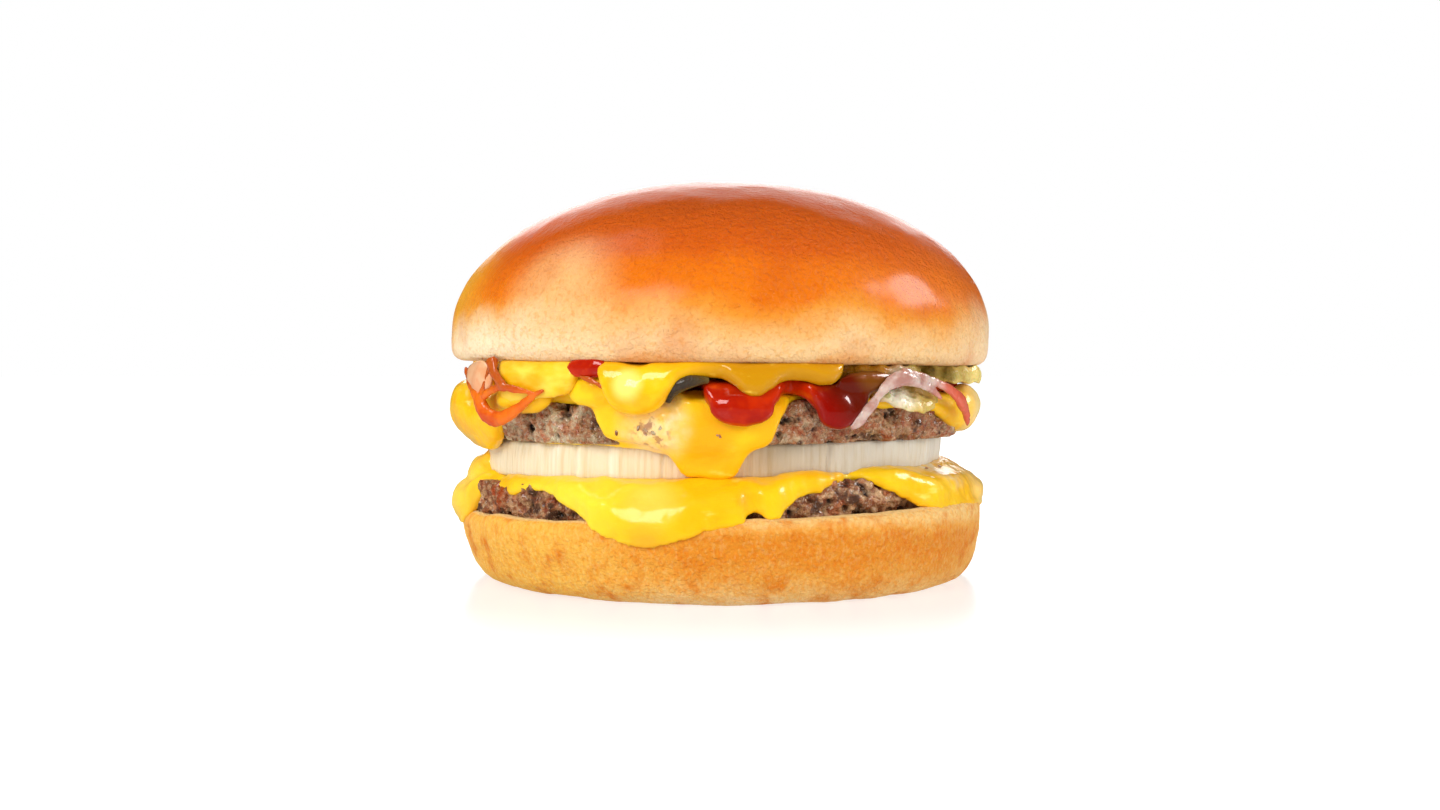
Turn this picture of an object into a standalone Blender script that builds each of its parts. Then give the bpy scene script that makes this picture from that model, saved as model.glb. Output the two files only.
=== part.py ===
"""A double cheeseburger, built up as it is stacked: heel of the bun, patty, melted cheese, a thick
slice of raw onion, patty, melted cheese, pickle chips, ketchup, yellow mustard and the crown.

Lengths are in millimetres and become metres where a point is made. Angles are in degrees round the
upright axis, 0 at the front (-Y) and positive towards the right (+X).
"""

import math

import bmesh
import bpy
import numpy as np
from mathutils import Vector, noise

MM = 0.001

# Driving dimensions
BUN_RADIUS = 52.0
HEEL_HEIGHT = 13.7
CROWN_WIDEST = 5.3
CROWN_RISE = 29.4
PATTY_RADIUS = 45.8
LOWER_PATTY_HEIGHT = 6.3
UPPER_PATTY_HEIGHT = 7.2
ONION_RADIUS = 43.6
ONION_HEIGHT = 5.2
CHEESE_THICKNESS = 0.9
PICKLE_HEIGHT = 2.1
MUSTARD_HEIGHT = 2.3
GAP = 0.3

# Heights of the stack, each layer standing one gap above the one below
LOWER_PATTY = HEEL_HEIGHT + GAP
LOWER_CHEESE = LOWER_PATTY + LOWER_PATTY_HEIGHT + GAP
ONION = LOWER_CHEESE + CHEESE_THICKNESS + GAP
UPPER_PATTY = ONION + ONION_HEIGHT + GAP
UPPER_CHEESE = UPPER_PATTY + UPPER_PATTY_HEIGHT + GAP
DRESSING = UPPER_CHEESE + CHEESE_THICKNESS + GAP
MUSTARD = DRESSING + PICKLE_HEIGHT + GAP
CROWN = MUSTARD + MUSTARD_HEIGHT + GAP
CROWN_TOP = CROWN + CROWN_WIDEST + CROWN_RISE

# The stack settles unevenly: at these heights it leans by so much per millimetre to the right,
# and its centre lies so far to the right of the axis.
SETTLE_HEIGHTS = (0.0, HEEL_HEIGHT, ONION, UPPER_PATTY, UPPER_CHEESE, CROWN, CROWN_TOP)
SETTLE_LEANS = (0.0, 0.026, 0.018, 0.008, 0.0, -0.010, -0.010)
SETTLE_SHIFTS = (1.1, 0.4, -0.7, -0.2, 0.0, 0.1, 1.2)

# Where the upper slice sags into a fat lip
BULGE_TOP = UPPER_CHEESE + 0.4
BULGE_HEIGHT = 10.0

# Sectors round the axis: narrow ones at the front, where every drip is known, and wide ones behind
FRONT_STEP = 4.0
BACK_STEP = 12.0
FINE_ANGLES = np.concatenate([np.arange(-90, 90, FRONT_STEP), np.arange(90, 270, BACK_STEP)])


def even_angles(count):
    return np.arange(count) * 360.0 / count


def apart(angle, centre):
    """Degrees between two angles, the short way round."""
    return abs((angle - centre + 180) % 360 - 180)


def swell(angle, lobes, squareness=4.0):
    """The tallest of several lobes at this angle, flatter on top and steeper at the sides the squarer
    they are. A lobe is (centre, half width, amount)."""
    heights = [
        amount * math.exp(-0.7 * (apart(angle, centre) / half) ** squareness)
        for centre, half, amount in lobes
    ]
    return max([*heights, 0.0])


def lumps(angle, radius, height, size, seed):
    """Smooth unevenness from -1 to 1, of this size in millimetres, over a point of a round body."""
    turn = math.radians(angle)
    place = Vector((radius * math.sin(turn), -radius * math.cos(turn), height))
    return noise.noise(place / size + Vector((seed, 0, 0)))


def settled(x, y, z):
    """A point of the true stack, leaned and shifted as the real one, in metres."""
    z_new = z + np.interp(z, SETTLE_HEIGHTS, SETTLE_LEANS) * x
    x_new = x + np.interp(z, SETTLE_HEIGHTS, SETTLE_SHIFTS)
    return Vector((x_new, y, z_new)) * MM


def on_axis(angle, radius, height):
    turn = math.radians(angle)
    return settled(radius * math.sin(turn), -radius * math.cos(turn), height)


def finish(name, colour, roughness):
    material = bpy.data.materials.new(name)
    material.use_nodes = True
    shader = material.node_tree.nodes["Principled BSDF"]
    shader.inputs["Base Color"].default_value = (*colour, 1.0)
    shader.inputs["Roughness"].default_value = roughness
    shader.inputs["Metallic"].default_value = 0.0
    return material


def turned(name, section, angles, material, place=on_axis):
    """A closed body turned round an axis with an outline that changes with the angle.

    section(angle) gives (radius, height) points from the axis below, outwards and back to the axis
    on top; place turns angle, radius and height into a point.
    """
    shape = bmesh.new()
    outlines = [section(angle) for angle in angles]
    bottom = shape.verts.new(place(0.0, 0.0, outlines[0][0][1]))
    top = shape.verts.new(place(0.0, 0.0, outlines[0][-1][1]))
    ribs = [
        [shape.verts.new(place(angle, radius, height)) for radius, height in outline[1:-1]]
        for angle, outline in zip(angles, outlines)
    ]
    for rib, following in zip(ribs, ribs[1:] + ribs[:1]):
        shape.faces.new((bottom, following[0], rib[0]))
        shape.faces.new((top, rib[-1], following[-1]))
        for low in range(len(rib) - 1):
            shape.faces.new((rib[low], following[low], following[low + 1], rib[low + 1]))
    bmesh.ops.recalc_face_normals(shape, faces=shape.faces)
    mesh = bpy.data.meshes.new(name)
    shape.to_mesh(mesh)
    shape.free()
    mesh.shade_smooth()
    mesh.materials.append(material)
    body = bpy.data.objects.new(name, mesh)
    bpy.context.collection.objects.link(body)
    return body


def rounded(points, times=2):
    """A polyline with its corners cut, ends kept, so that it runs as a smooth curve."""
    points = np.array(points, float)
    for _ in range(times):
        near = points[:-1] * 0.75 + points[1:] * 0.25
        far = points[:-1] * 0.25 + points[1:] * 0.75
        middle = np.stack([near, far], axis=1).reshape(-1, 2)[1:-1]
        points = np.concatenate([points[:1], middle, points[-1:]])
    return points


def puff(height):
    """How strongly the upper slice's bulge shows at this height, from 0 to 1."""
    return math.sin(math.pi * min(max((BULGE_TOP - height) / BULGE_HEIGHT, 0.0), 1.0))


class Sheet:
    """Something soft spread over the stack: its underside and its top side, as two curves from the
    axis outwards and down that are cut where the sheet ends."""

    LIP = 0.5
    FLAT_RINGS = (0.0, 0.6, 0.9, 0.965, 1.0)

    def __init__(self, underside, top_side, flat_length, falling_rings):
        self.flat_length = flat_length
        self.falling_rings = falling_rings
        self.inner = rounded(underside)
        self.outer = rounded(top_side)
        steps = np.hypot(*np.diff(self.inner, axis=0).T)
        self.lengths = np.concatenate([[0.0], np.cumsum(steps)])

    def at(self, side, length):
        return np.array([np.interp(length, self.lengths, side[:, axis]) for axis in (0, 1)])

    def reach_to(self, height):
        """How far out along the sheet its falling part comes down to this height."""
        return float(np.interp(-height, -self.inner[:, 1], self.lengths))

    def section(self, reach, bulge=0.0, lift=0.0, carried=0.0):
        """The outline of the sheet where it ends at this reach, its side puffed out by bulge and the
        top of its rim raised by lift. What lies over another sheet is carried out by its bulge."""
        flat = min(self.flat_length, 0.92 * reach)
        lengths = [share * flat for share in self.FLAT_RINGS]
        lengths += [flat + share * (reach - flat) for share in self.falling_rings]
        below = [self.at(self.inner, length) for length in lengths]
        above = [self.at(self.outer, length) for length in lengths[:-1]]
        above.append(self.at(self.outer, reach - self.LIP / 2))
        lip = (self.at(self.inner, reach + self.LIP) + self.at(self.outer, reach + self.LIP)) / 2
        for length, point in zip(lengths, above):
            crest = math.exp(-(((length - 45.0) / 4.0) ** 4))
            point += (bulge * puff(point[1]), lift * crest)
        for point in (*below, lip, *above):
            point[0] += carried * puff(point[1])
        return [*below, lip, *reversed(above)]


def heel_section(angle):
    uneven = 1 + 0.006 * lumps(angle, BUN_RADIUS, 0, 30, 3.0)
    top = HEEL_HEIGHT
    wall = ((45.6, 0.5), (47.6, 2.1), (48.9, 4.5), (49.7, 7.6), (50.2, 10.4), (50.3, 12.2))
    side = [(radius * uneven, height) for radius, height in (*wall, (49.6, top - 0.4))]
    return [(0, 0), (24, 0), (43, 0), *side, (48.0, top), (24, top), (0, top)]


def crown_section(angle):
    uneven = 1 + 0.004 * lumps(angle, BUN_RADIUS, 0, 40, 8.0)
    low = CROWN + CROWN_WIDEST
    rim = [(48.2, CROWN), (50.4, CROWN + 0.45), (51.5, CROWN + 1.7), (51.95, CROWN + 3.4)]
    dome = [
        (BUN_RADIUS * math.cos(turn) ** 0.97, low + CROWN_RISE * math.sin(turn) ** 0.97)
        for turn in np.radians((0.01, 10, 20, 30, 40, 50, 60, 70, 80))
    ]
    side = [(radius * uneven, height) for radius, height in rim + dome]
    return [(0, CROWN), (28, CROWN), *side, (0, CROWN_TOP)]


def patty_section(bottom, height, radius, seed):
    """Sections of a thin smashed patty: a soft round edge, cracked and pitted."""

    def section(angle):
        edge = radius * (1 + 0.009 * lumps(angle, radius, bottom, 16, seed))
        corner = height * 0.45
        side = []
        for turn in np.radians((-72, -40, -12, 14, 42, 74)):
            reach = edge - corner + corner * math.cos(turn) ** 0.7
            level = bottom + height / 2 * (1 + math.sin(turn) ** 3 * 0.25 + math.sin(turn) * 0.75)
            pit = abs(lumps(angle, reach, level * 1.6, 3.1, seed + 7))
            side.append((reach - 1.9 * pit, level))
        top = bottom + height
        below = [(0, bottom), (24, bottom), (edge - 4.4, bottom)]
        return [*below, *side, (edge - 4.6, top), (24, top), (0, top)]

    return section


def onion_section(angle):
    edge = ONION_RADIUS * (1 + 0.007 * lumps(angle, ONION_RADIUS, ONION, 12, 5.0))
    top = ONION + ONION_HEIGHT
    middle = ONION + ONION_HEIGHT / 2
    return [
        (0, ONION),
        (28, ONION),
        (edge - 1.0, ONION),
        (edge - 0.1, ONION + 0.7),
        (edge, middle),
        (edge - 0.3, top - 0.6),
        (edge - 1.2, top),
        (28, top),
        (0, top),
    ]


# The lower slice melts from the patty on to the rim of the heel and over it.
LOWER_SHEET = Sheet(
    [
        (0, LOWER_CHEESE),
        (40, LOWER_CHEESE),
        (44.8, LOWER_CHEESE),
        (46.9, LOWER_CHEESE - 0.9),
        (47.5, LOWER_CHEESE - 2.5),
        (48.0, LOWER_CHEESE - 4.2),
        (49.0, LOWER_CHEESE - 5.5),
        (50.4, LOWER_CHEESE - 6.2),
        (51.1, LOWER_CHEESE - 7.4),
        (51.1, LOWER_CHEESE - 9.0),
        (50.8, LOWER_CHEESE - 11.0),
    ],
    [
        (0, LOWER_CHEESE + CHEESE_THICKNESS),
        (40, LOWER_CHEESE + CHEESE_THICKNESS),
        (45.4, LOWER_CHEESE + CHEESE_THICKNESS),
        (47.9, LOWER_CHEESE + 0.2),
        (49.2, LOWER_CHEESE - 1.3),
        (50.0, LOWER_CHEESE - 2.9),
        (50.8, LOWER_CHEESE - 4.4),
        (51.6, LOWER_CHEESE - 5.8),
        (52.0, LOWER_CHEESE - 7.3),
        (52.1, LOWER_CHEESE - 9.0),
        (51.7, LOWER_CHEESE - 11.0),
    ],
    46.2,
    (0.25, 0.5, 0.75, 1.0),
)
LOWER_EDGE = LOWER_SHEET.reach_to(LOWER_CHEESE - 1.4)
LOWER_DRIPS = [
    (angle, half, LOWER_SHEET.reach_to(height) - LOWER_EDGE)
    for angle, half, height in (
        (-96, 24, 12.6),
        (-19, 11, 11.2),
        (-7, 13, 13.2),
        (12, 3.5, 15.0),
        (74, 21, 14.3),
        (118, 12, 12.4),
        (150, 9, 16.0),
        (176, 13, 11.6),
        (-148, 11, 13.4),
    )
]

# The upper slice hangs down the patty beneath it and, in places, over the onion.
UPPER_SHEET = Sheet(
    [
        (0, UPPER_CHEESE),
        (40, UPPER_CHEESE),
        (45.0, UPPER_CHEESE),
        (46.8, UPPER_CHEESE - 0.9),
        (47.2, UPPER_CHEESE - 2.4),
        (47.3, UPPER_CHEESE - 4.4),
        (47.1, UPPER_CHEESE - 6.6),
        (46.4, UPPER_CHEESE - 8.4),
        (45.4, UPPER_CHEESE - 10.2),
        (45.2, UPPER_CHEESE - 12.0),
        (45.2, UPPER_CHEESE - 14.0),
    ],
    [
        (0, UPPER_CHEESE + CHEESE_THICKNESS),
        (40, UPPER_CHEESE + CHEESE_THICKNESS),
        (44.8, UPPER_CHEESE + CHEESE_THICKNESS),
        (47.6, UPPER_CHEESE + 0.2),
        (48.8, UPPER_CHEESE - 1.4),
        (49.3, UPPER_CHEESE - 3.8),
        (49.1, UPPER_CHEESE - 6.4),
        (48.5, UPPER_CHEESE - 8.4),
        (47.6, UPPER_CHEESE - 10.2),
        (47.1, UPPER_CHEESE - 12.0),
        (46.9, UPPER_CHEESE - 14.0),
    ],
    46.2,
    (0.25, 0.5, 0.75, 1.0),
)
UPPER_EDGE = UPPER_SHEET.reach_to(UPPER_CHEESE - 0.8)
UPPER_DRIPS = [
    (angle, half, UPPER_SHEET.reach_to(height) - UPPER_EDGE)
    for angle, half, height in (
        (-78, 24, 25.8),
        (-85, 6, 22.4),
        (-18, 13, 27.8),
        (-3, 6, 21.9),
        (4, 6, 21.7),
        (82, 15, 27.0),
        (122, 12, 29.0),
        (160, 9, 24.0),
        (-163, 14, 28.0),
        (-128, 9, 25.0),
    )
]
UPPER_BULGES = ((-86, 22, 2.4), (84, 14, 0.9), (180, 40, 0.6))
UPPER_LIFTS = ((-46, 8, 1.7),)

KETCHUP_SHEET = Sheet(
    [
        (0, DRESSING),
        (40, DRESSING),
        (45.2, DRESSING + 0.2),
        (48.4, DRESSING - 0.2),
        (49.9, DRESSING - 2.1),
        (50.2, DRESSING - 4.8),
        (50.1, DRESSING - 8.0),
    ],
    [
        (0, DRESSING + 1.4),
        (38, DRESSING + PICKLE_HEIGHT - 0.1),
        (44.6, DRESSING + PICKLE_HEIGHT - 0.1),
        (47.6, DRESSING + 1.3),
        (49.9, DRESSING - 0.2),
        (51.6, DRESSING - 3.6),
        (51.4, DRESSING - 7.0),
    ],
    43.6,
    (0.4, 0.7, 1.0),
)
KETCHUP_EDGE = 44.0
KETCHUP_SPILLS = [
    (angle, half, KETCHUP_SHEET.reach_to(height) - KETCHUP_EDGE)
    for angle, half, height in (
        (5, 9, 30.4),
        (24, 5.5, 30.8),
        (73, 7, 32.2),
        (-69, 9, 31.4),
        (128, 18, 32.6),
        (-150, 20, 32.0),
    )
]
KETCHUP_NOTCHES = ((-23, 15.5, 20.0), (-43, 11, 20.0), (47.8, 17.8, 20.0))

MUSTARD_SHEET = Sheet(
    [
        (0, MUSTARD),
        (40, MUSTARD),
        (45.2, MUSTARD),
        (47.8, MUSTARD - 0.1),
        (49.4, MUSTARD - 0.7),
        (50.3, MUSTARD - 2.2),
        (50.6, MUSTARD - 4.0),
        (50.6, MUSTARD - 6.4),
    ],
    [
        (0, MUSTARD + 1.6),
        (38, MUSTARD + MUSTARD_HEIGHT),
        (46.4, MUSTARD + MUSTARD_HEIGHT),
        (49.4, MUSTARD + 2.0),
        (51.4, MUSTARD + 0.8),
        (52.3, MUSTARD - 1.4),
        (52.6, MUSTARD - 3.8),
        (52.2, MUSTARD - 6.4),
    ],
    46.0,
    (0.4, 0.7, 1.0),
)
MUSTARD_EDGE = 46.5
MUSTARD_SPILLS = [
    (angle, half, MUSTARD_SHEET.reach_to(height) - MUSTARD_EDGE)
    for angle, half, height in (
        (-16, 7, 33.4),
        (2, 18, 37.9),
        (8, 5, 36.2),
        (164, 10, 34.6),
        (-112, 9, 35.4),
    )
]
MUSTARD_NOTCHES = ((42, 21, 24.0), (76, 19, 24.0), (58, 12, 24.0))

# Chips: name, angle and distance of the centre, radius, underside, thickness and droop at the rim
PICKLE_CHIPS = (
    ("pickle_chip_front", -24.5, 36.8, 10.2, DRESSING, PICKLE_HEIGHT, 0.0),
    ("pickle_chip_corner", 48.4, 38.8, 10.3, DRESSING, PICKLE_HEIGHT, 1.1),
    ("pickle_chip_right", 41.0, 36.2, 11.2, MUSTARD, MUSTARD_HEIGHT, 0.0),
    ("pickle_chip_side", 76.0, 39.6, 11.4, MUSTARD, MUSTARD_HEIGHT, 1.6),
)
DROOP_FROM = 43.5
DROOP_TO = 50.5


def chip(name, angle, distance, radius, bottom, thickness, droop, material):
    """A pickle chip lying flat, its outer edge drooping where it leaves the patty."""
    centre_x = distance * math.sin(math.radians(angle))
    centre_y = -distance * math.cos(math.radians(angle))

    def section(_):
        return [
            (0, 0.0),
            (radius * 0.55, 0.0),
            (radius - 0.7, 0.05),
            (radius, thickness * 0.5),
            (radius - 0.6, thickness - 0.05),
            (radius * 0.55, thickness),
            (0, thickness),
        ]

    def place(turn, reach, height):
        x = centre_x + reach * math.sin(math.radians(turn))
        y = centre_y - reach * math.cos(math.radians(turn))
        past = max(0.0, (math.hypot(x, y) - DROOP_FROM) / (DROOP_TO - DROOP_FROM))
        return settled(x, y, bottom + height - droop * past**2)

    return turned(name, section, even_angles(22), material, place)


def clear_scene():
    for leftover in list(bpy.data.objects):
        bpy.data.objects.remove(leftover)


def build():
    crust = finish("golden_crust", (0.78, 0.38, 0.09), 0.45)
    glazed = finish("glazed_crust", (0.66, 0.22, 0.02), 0.28)
    beef = finish("browned_beef", (0.22, 0.12, 0.07), 0.60)
    cheese = finish("melted_cheese", (0.97, 0.53, 0.03), 0.30)
    onion = finish("raw_onion", (0.80, 0.74, 0.58), 0.35)
    pickle = finish("dill_pickle", (0.33, 0.31, 0.08), 0.25)
    ketchup = finish("ketchup", (0.50, 0.03, 0.01), 0.12)
    mustard = finish("yellow_mustard", (0.93, 0.55, 0.02), 0.18)

    turned("heel", heel_section, even_angles(44), crust)
    lower = patty_section(LOWER_PATTY, LOWER_PATTY_HEIGHT, PATTY_RADIUS, 11.0)
    turned("lower_patty", lower, FINE_ANGLES, beef)
    turned(
        "lower_cheese",
        lambda angle: LOWER_SHEET.section(LOWER_EDGE + swell(angle, LOWER_DRIPS)),
        FINE_ANGLES,
        cheese,
    )
    turned("onion_slice", onion_section, even_angles(44), onion)
    upper = patty_section(UPPER_PATTY, UPPER_PATTY_HEIGHT, PATTY_RADIUS, 23.0)
    turned("upper_patty", upper, FINE_ANGLES, beef)
    turned(
        "upper_cheese",
        lambda angle: UPPER_SHEET.section(
            UPPER_EDGE + swell(angle, UPPER_DRIPS),
            bulge=swell(angle, UPPER_BULGES),
            lift=swell(angle, UPPER_LIFTS),
        ),
        FINE_ANGLES,
        cheese,
    )
    turned(
        "ketchup",
        lambda angle: KETCHUP_SHEET.section(
            KETCHUP_EDGE + swell(angle, KETCHUP_SPILLS, 2.0) - swell(angle, KETCHUP_NOTCHES),
            carried=swell(angle, UPPER_BULGES),
        ),
        FINE_ANGLES,
        ketchup,
    )
    for facts in PICKLE_CHIPS:
        chip(*facts, pickle)
    turned(
        "mustard",
        lambda angle: MUSTARD_SHEET.section(
            MUSTARD_EDGE + swell(angle, MUSTARD_SPILLS) - swell(angle, MUSTARD_NOTCHES)
        ),
        FINE_ANGLES,
        mustard,
    )
    turned("crown", crown_section, even_angles(44), glazed)


clear_scene()
build()
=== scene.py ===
import math

import bmesh
import bpy
import numpy as np
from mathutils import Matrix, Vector, noise
from mathutils.bvhtree import BVHTree


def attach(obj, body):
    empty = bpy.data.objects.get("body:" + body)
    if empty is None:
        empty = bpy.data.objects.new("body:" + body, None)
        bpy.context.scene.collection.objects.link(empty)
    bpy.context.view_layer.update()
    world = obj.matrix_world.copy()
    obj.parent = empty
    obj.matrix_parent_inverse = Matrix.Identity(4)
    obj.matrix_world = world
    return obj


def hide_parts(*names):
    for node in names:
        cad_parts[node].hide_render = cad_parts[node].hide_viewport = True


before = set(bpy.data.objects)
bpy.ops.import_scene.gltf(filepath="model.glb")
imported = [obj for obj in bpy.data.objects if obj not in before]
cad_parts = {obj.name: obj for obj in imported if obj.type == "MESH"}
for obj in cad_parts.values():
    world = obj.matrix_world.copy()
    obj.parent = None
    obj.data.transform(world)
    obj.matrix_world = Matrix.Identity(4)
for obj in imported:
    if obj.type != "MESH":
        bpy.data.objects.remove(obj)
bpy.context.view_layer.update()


# View and studio. The camera stands 312 mm in front of the burger and looks down by a degree and a
# half. A large soft box lights the front from the left, a weaker one fills in from the right, others
# hang round it, and the white table glows as a light, dimmed close to the burger as painted shadow.
bpy.ops.object.select_all(action="DESELECT")
bpy.ops.object.camera_add(location=(0.0002, -0.312, 0.0412), rotation=(math.radians(88.45), 0, 0))
camera = bpy.context.object
camera.name = "camera"
camera.data.lens = 39.7
camera.data.sensor_width = 36.0
camera.data.clip_start = 0.01
scene = bpy.context.scene
scene.camera = camera
scene.view_settings.view_transform = "Standard"
scene.view_settings.look = "None"


def node(tree, kind, inputs=(), **settings):
    """Adds a node with these settings; its inputs are numbers, colours or other nodes' outputs."""
    new = tree.nodes.new(kind)
    for setting, value in settings.items():
        setattr(new, setting, value)
    for socket, value in dict(inputs).items():
        if isinstance(value, bpy.types.NodeSocket):
            tree.links.new(value, new.inputs[socket])
        else:
            new.inputs[socket].default_value = value
    return new


room = bpy.data.worlds.new("white_room")
room.use_nodes = True
scene.world = room
air = room.node_tree
seen = node(air, "ShaderNodeLightPath").outputs
sky = air.nodes["Background"]
sky.inputs["Color"].default_value = (1.0, 0.99, 0.98, 1.0)
dimmed = node(air, "ShaderNodeMapRange", {"Value": seen["Is Glossy Ray"], "To Min": 0.50, "To Max": 0.03})
air.links.new(dimmed.outputs[0], sky.inputs["Strength"])
backdrop = node(air, "ShaderNodeBackground", {"Color": (1.0, 1.0, 1.0, 1.0)})
choice = {"Fac": seen["Is Camera Ray"], 1: sky.outputs[0], 2: backdrop.outputs[0]}
either = node(air, "ShaderNodeMixShader", choice)
air.links.new(either.outputs[0], air.nodes["World Output"].inputs["Surface"])

# Name, place and size in metres, watts, whether it lights, and whether it shows in reflections
SOFT_BOXES = (
    ("soft_box_key", (-0.48, -0.72, 0.56), (0.42, 0.42), 5.2, True, True),
    ("soft_box_top", (-0.42, 0.10, 0.80), (0.40, 0.40), 1.3, True, True),
    ("soft_box_fill", (0.62, -0.62, 0.30), (0.50, 0.45), 2.3, True, False),
    ("soft_box_right", (0.85, -0.16, 0.24), (0.40, 0.40), 1.3, True, False),
    ("soft_box_left", (-0.85, -0.22, 0.22), (0.40, 0.40), 1.5, True, False),
    ("soft_box_kick", (0.76, 0.02, 0.48), (0.34, 0.34), 6.0, False, True),
    ("soft_box_rim", (0.0, 0.85, 0.32), (0.60, 0.26), 1.9, True, True),
)
for name, place, size, power, lighting, mirrored in SOFT_BOXES:
    aim = Vector((0, 0, 0.04)) - Vector(place)
    bpy.ops.object.light_add(type="AREA", location=place, rotation=aim.to_track_quat("-Z", "Y").to_euler())
    lamp = bpy.context.object
    lamp.name = name
    lamp.data.shape = "RECTANGLE"
    lamp.data.size, lamp.data.size_y = size
    lamp.data.energy = power
    lamp.visible_camera = False
    lamp.visible_diffuse = lighting
    lamp.visible_glossy = mirrored

bpy.ops.mesh.primitive_plane_add(size=8.0)
floor = bpy.context.object
floor.name = "floor"
white_table = bpy.data.materials.new("white_table")
white_table.use_nodes = True
table = white_table.node_tree
table_shader = table.nodes["Principled BSDF"]
table_shader.inputs["Base Color"].default_value = (0.22, 0.215, 0.21, 1)
table_shader.inputs["Roughness"].default_value = 0.3
table_shader.inputs["Emission Strength"].default_value = 1.0
spot = node(table, "ShaderNodeTexCoord").outputs["Object"]
away = node(table, "ShaderNodeVectorMath", {0: spot}, operation="LENGTH").outputs["Value"]
# Painted shadow: the table glows less close to the burger, for the shadow under it.
fading = {"From Min": 0.055, "From Max": 0.11, "To Min": 0.68, "To Max": 1.05}
fade = node(table, "ShaderNodeMapRange", {"Value": away, **fading}, interpolation_type="SMOOTHSTEP")
glossy = node(table, "ShaderNodeLightPath").outputs["Is Glossy Ray"]
glow = node(table, "ShaderNodeMapRange", {"Value": glossy, "To Min": 1.0, "To Max": 0.05})
glowing = node(table, "ShaderNodeMath", {0: fade.outputs[0], 1: glow.outputs[0]}, operation="MULTIPLY")
table.links.new(glowing.outputs[0], table_shader.inputs["Emission Color"])
floor.data.materials.append(white_table)


# Heel: the bottom half of a soft round bun, baked golden brown at the side and paler at the foot,
# its cut face a pale crumb that shows as a thin line round the rim. It carries the whole stack,
# which has settled with a lean.
MM = 0.001
# The stack in millimetres: how thick each layer is, and how high above the table it starts
GAP = 0.3
BUN_RADIUS = 52
HEEL_HEIGHT = 13.7
LOWER_PATTY_HEIGHT = 6.3
UPPER_PATTY_HEIGHT = 7.2
CHEESE_THICKNESS = 0.9
ONION_HEIGHT = 5.2
KETCHUP_HEIGHT = 2.1
MUSTARD_HEIGHT = 2.3
CROWN_HEIGHT = 34.7
LOWER_PATTY = HEEL_HEIGHT + GAP
LOWER_CHEESE = LOWER_PATTY + LOWER_PATTY_HEIGHT + GAP
ONION = LOWER_CHEESE + CHEESE_THICKNESS + GAP
UPPER_PATTY = ONION + ONION_HEIGHT + GAP
UPPER_CHEESE = UPPER_PATTY + UPPER_PATTY_HEIGHT + GAP
DRESSING = UPPER_CHEESE + CHEESE_THICKNESS + GAP
MUSTARD = DRESSING + KETCHUP_HEIGHT + GAP
CROWN = MUSTARD + MUSTARD_HEIGHT + GAP
CROWN_TOP = CROWN + CROWN_HEIGHT
# Columns of points round a layer as wide as the bun
ROUND = 480
# How far the stack leans to the right and has shifted, at heights along it
SETTLE_HEIGHTS = (0.0, HEEL_HEIGHT, ONION, UPPER_PATTY, UPPER_CHEESE, CROWN, CROWN + 20, CROWN_TOP)
SETTLE_LEANS = (0.0, 0.026, 0.018, 0.008, 0.0, -0.010, -0.010, -0.010)
SETTLE_SHIFTS = (1.1, 0.4, -0.7, -0.2, 0.0, 0.0, 0.9, 1.3)


def settled(points):
    """Leans and shifts points of the true stack, in millimetres, as the real one has settled."""
    x, y, z = points.T
    lean = np.interp(z, SETTLE_HEIGHTS, SETTLE_LEANS)
    shift = np.interp(z, SETTLE_HEIGHTS, SETTLE_SHIFTS)
    return np.stack([x + shift, y, z + lean * x], axis=1)


def shared_out(line, count, crowded_from, crowding):
    """Points along an outline, closer together beyond a radius, where the surface shows."""
    steps = np.hypot(*np.diff(line, axis=0).T)
    middle = (line[1:, 0] + line[:-1, 0]) / 2
    steps = steps * np.where(middle > crowded_from, crowding, 1.0)
    along = np.concatenate([[0.0], np.cumsum(steps)])
    at = np.linspace(0, along[-1], count)
    return np.stack([np.interp(at, along, line[:, side]) for side in (0, 1)], axis=1)


def moulded(name, outline, segments, rings, crowded_from=38.0, crowding=3.0, place=settled):
    """A drum, cut into rings and moulded to an outline that changes round it. The outline runs from
    the axis below, outwards and back to the axis on top; angles are 0 at the front and grow to the
    right."""
    bpy.ops.object.select_all(action="DESELECT")
    bpy.ops.mesh.primitive_cylinder_add(vertices=segments, radius=1.0, depth=2.0, end_fill_type="TRIFAN")
    piece = bpy.context.object
    piece.name = piece.data.name = name
    bpy.ops.object.mode_set(mode="EDIT")
    bpy.ops.mesh.select_mode(type="EDGE")
    bpy.ops.mesh.select_all(action="DESELECT")
    shape = bmesh.from_edit_mesh(piece.data)
    for edge in shape.edges:
        edge.select_set(abs(edge.verts[0].co.z - edge.verts[1].co.z) > 1)
    bmesh.update_edit_mesh(piece.data)
    bpy.ops.mesh.subdivide(number_cuts=rings - 3)
    bpy.ops.object.mode_set(mode="OBJECT")
    drum = np.empty(3 * len(piece.data.vertices))
    piece.data.vertices.foreach_get("co", drum)
    x, y, z = drum.reshape(-1, 3).T
    column = np.rint(np.degrees(np.arctan2(x, -y)) / 360 * segments).astype(int) % segments
    ring = np.rint((z + 1) / 2 * (rings - 2)).astype(int) + 1
    hub = np.hypot(x, y) < 0.5
    ring[hub] += np.where(z[hub] > 0, 1, -1)
    angles = np.arange(segments) * 360.0 / segments
    lines = [shared_out(np.array(outline(a), float), rings + 1, crowded_from, crowding) for a in angles]
    radius, height = np.array(lines)[column, ring].T
    turn = np.radians(angles[column])
    points = place(np.stack([radius * np.sin(turn), -radius * np.cos(turn), height], axis=1))
    piece.data.vertices.foreach_set("co", (points * MM).ravel())
    piece.data.update()
    bpy.ops.object.shade_smooth()
    return piece


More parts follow.
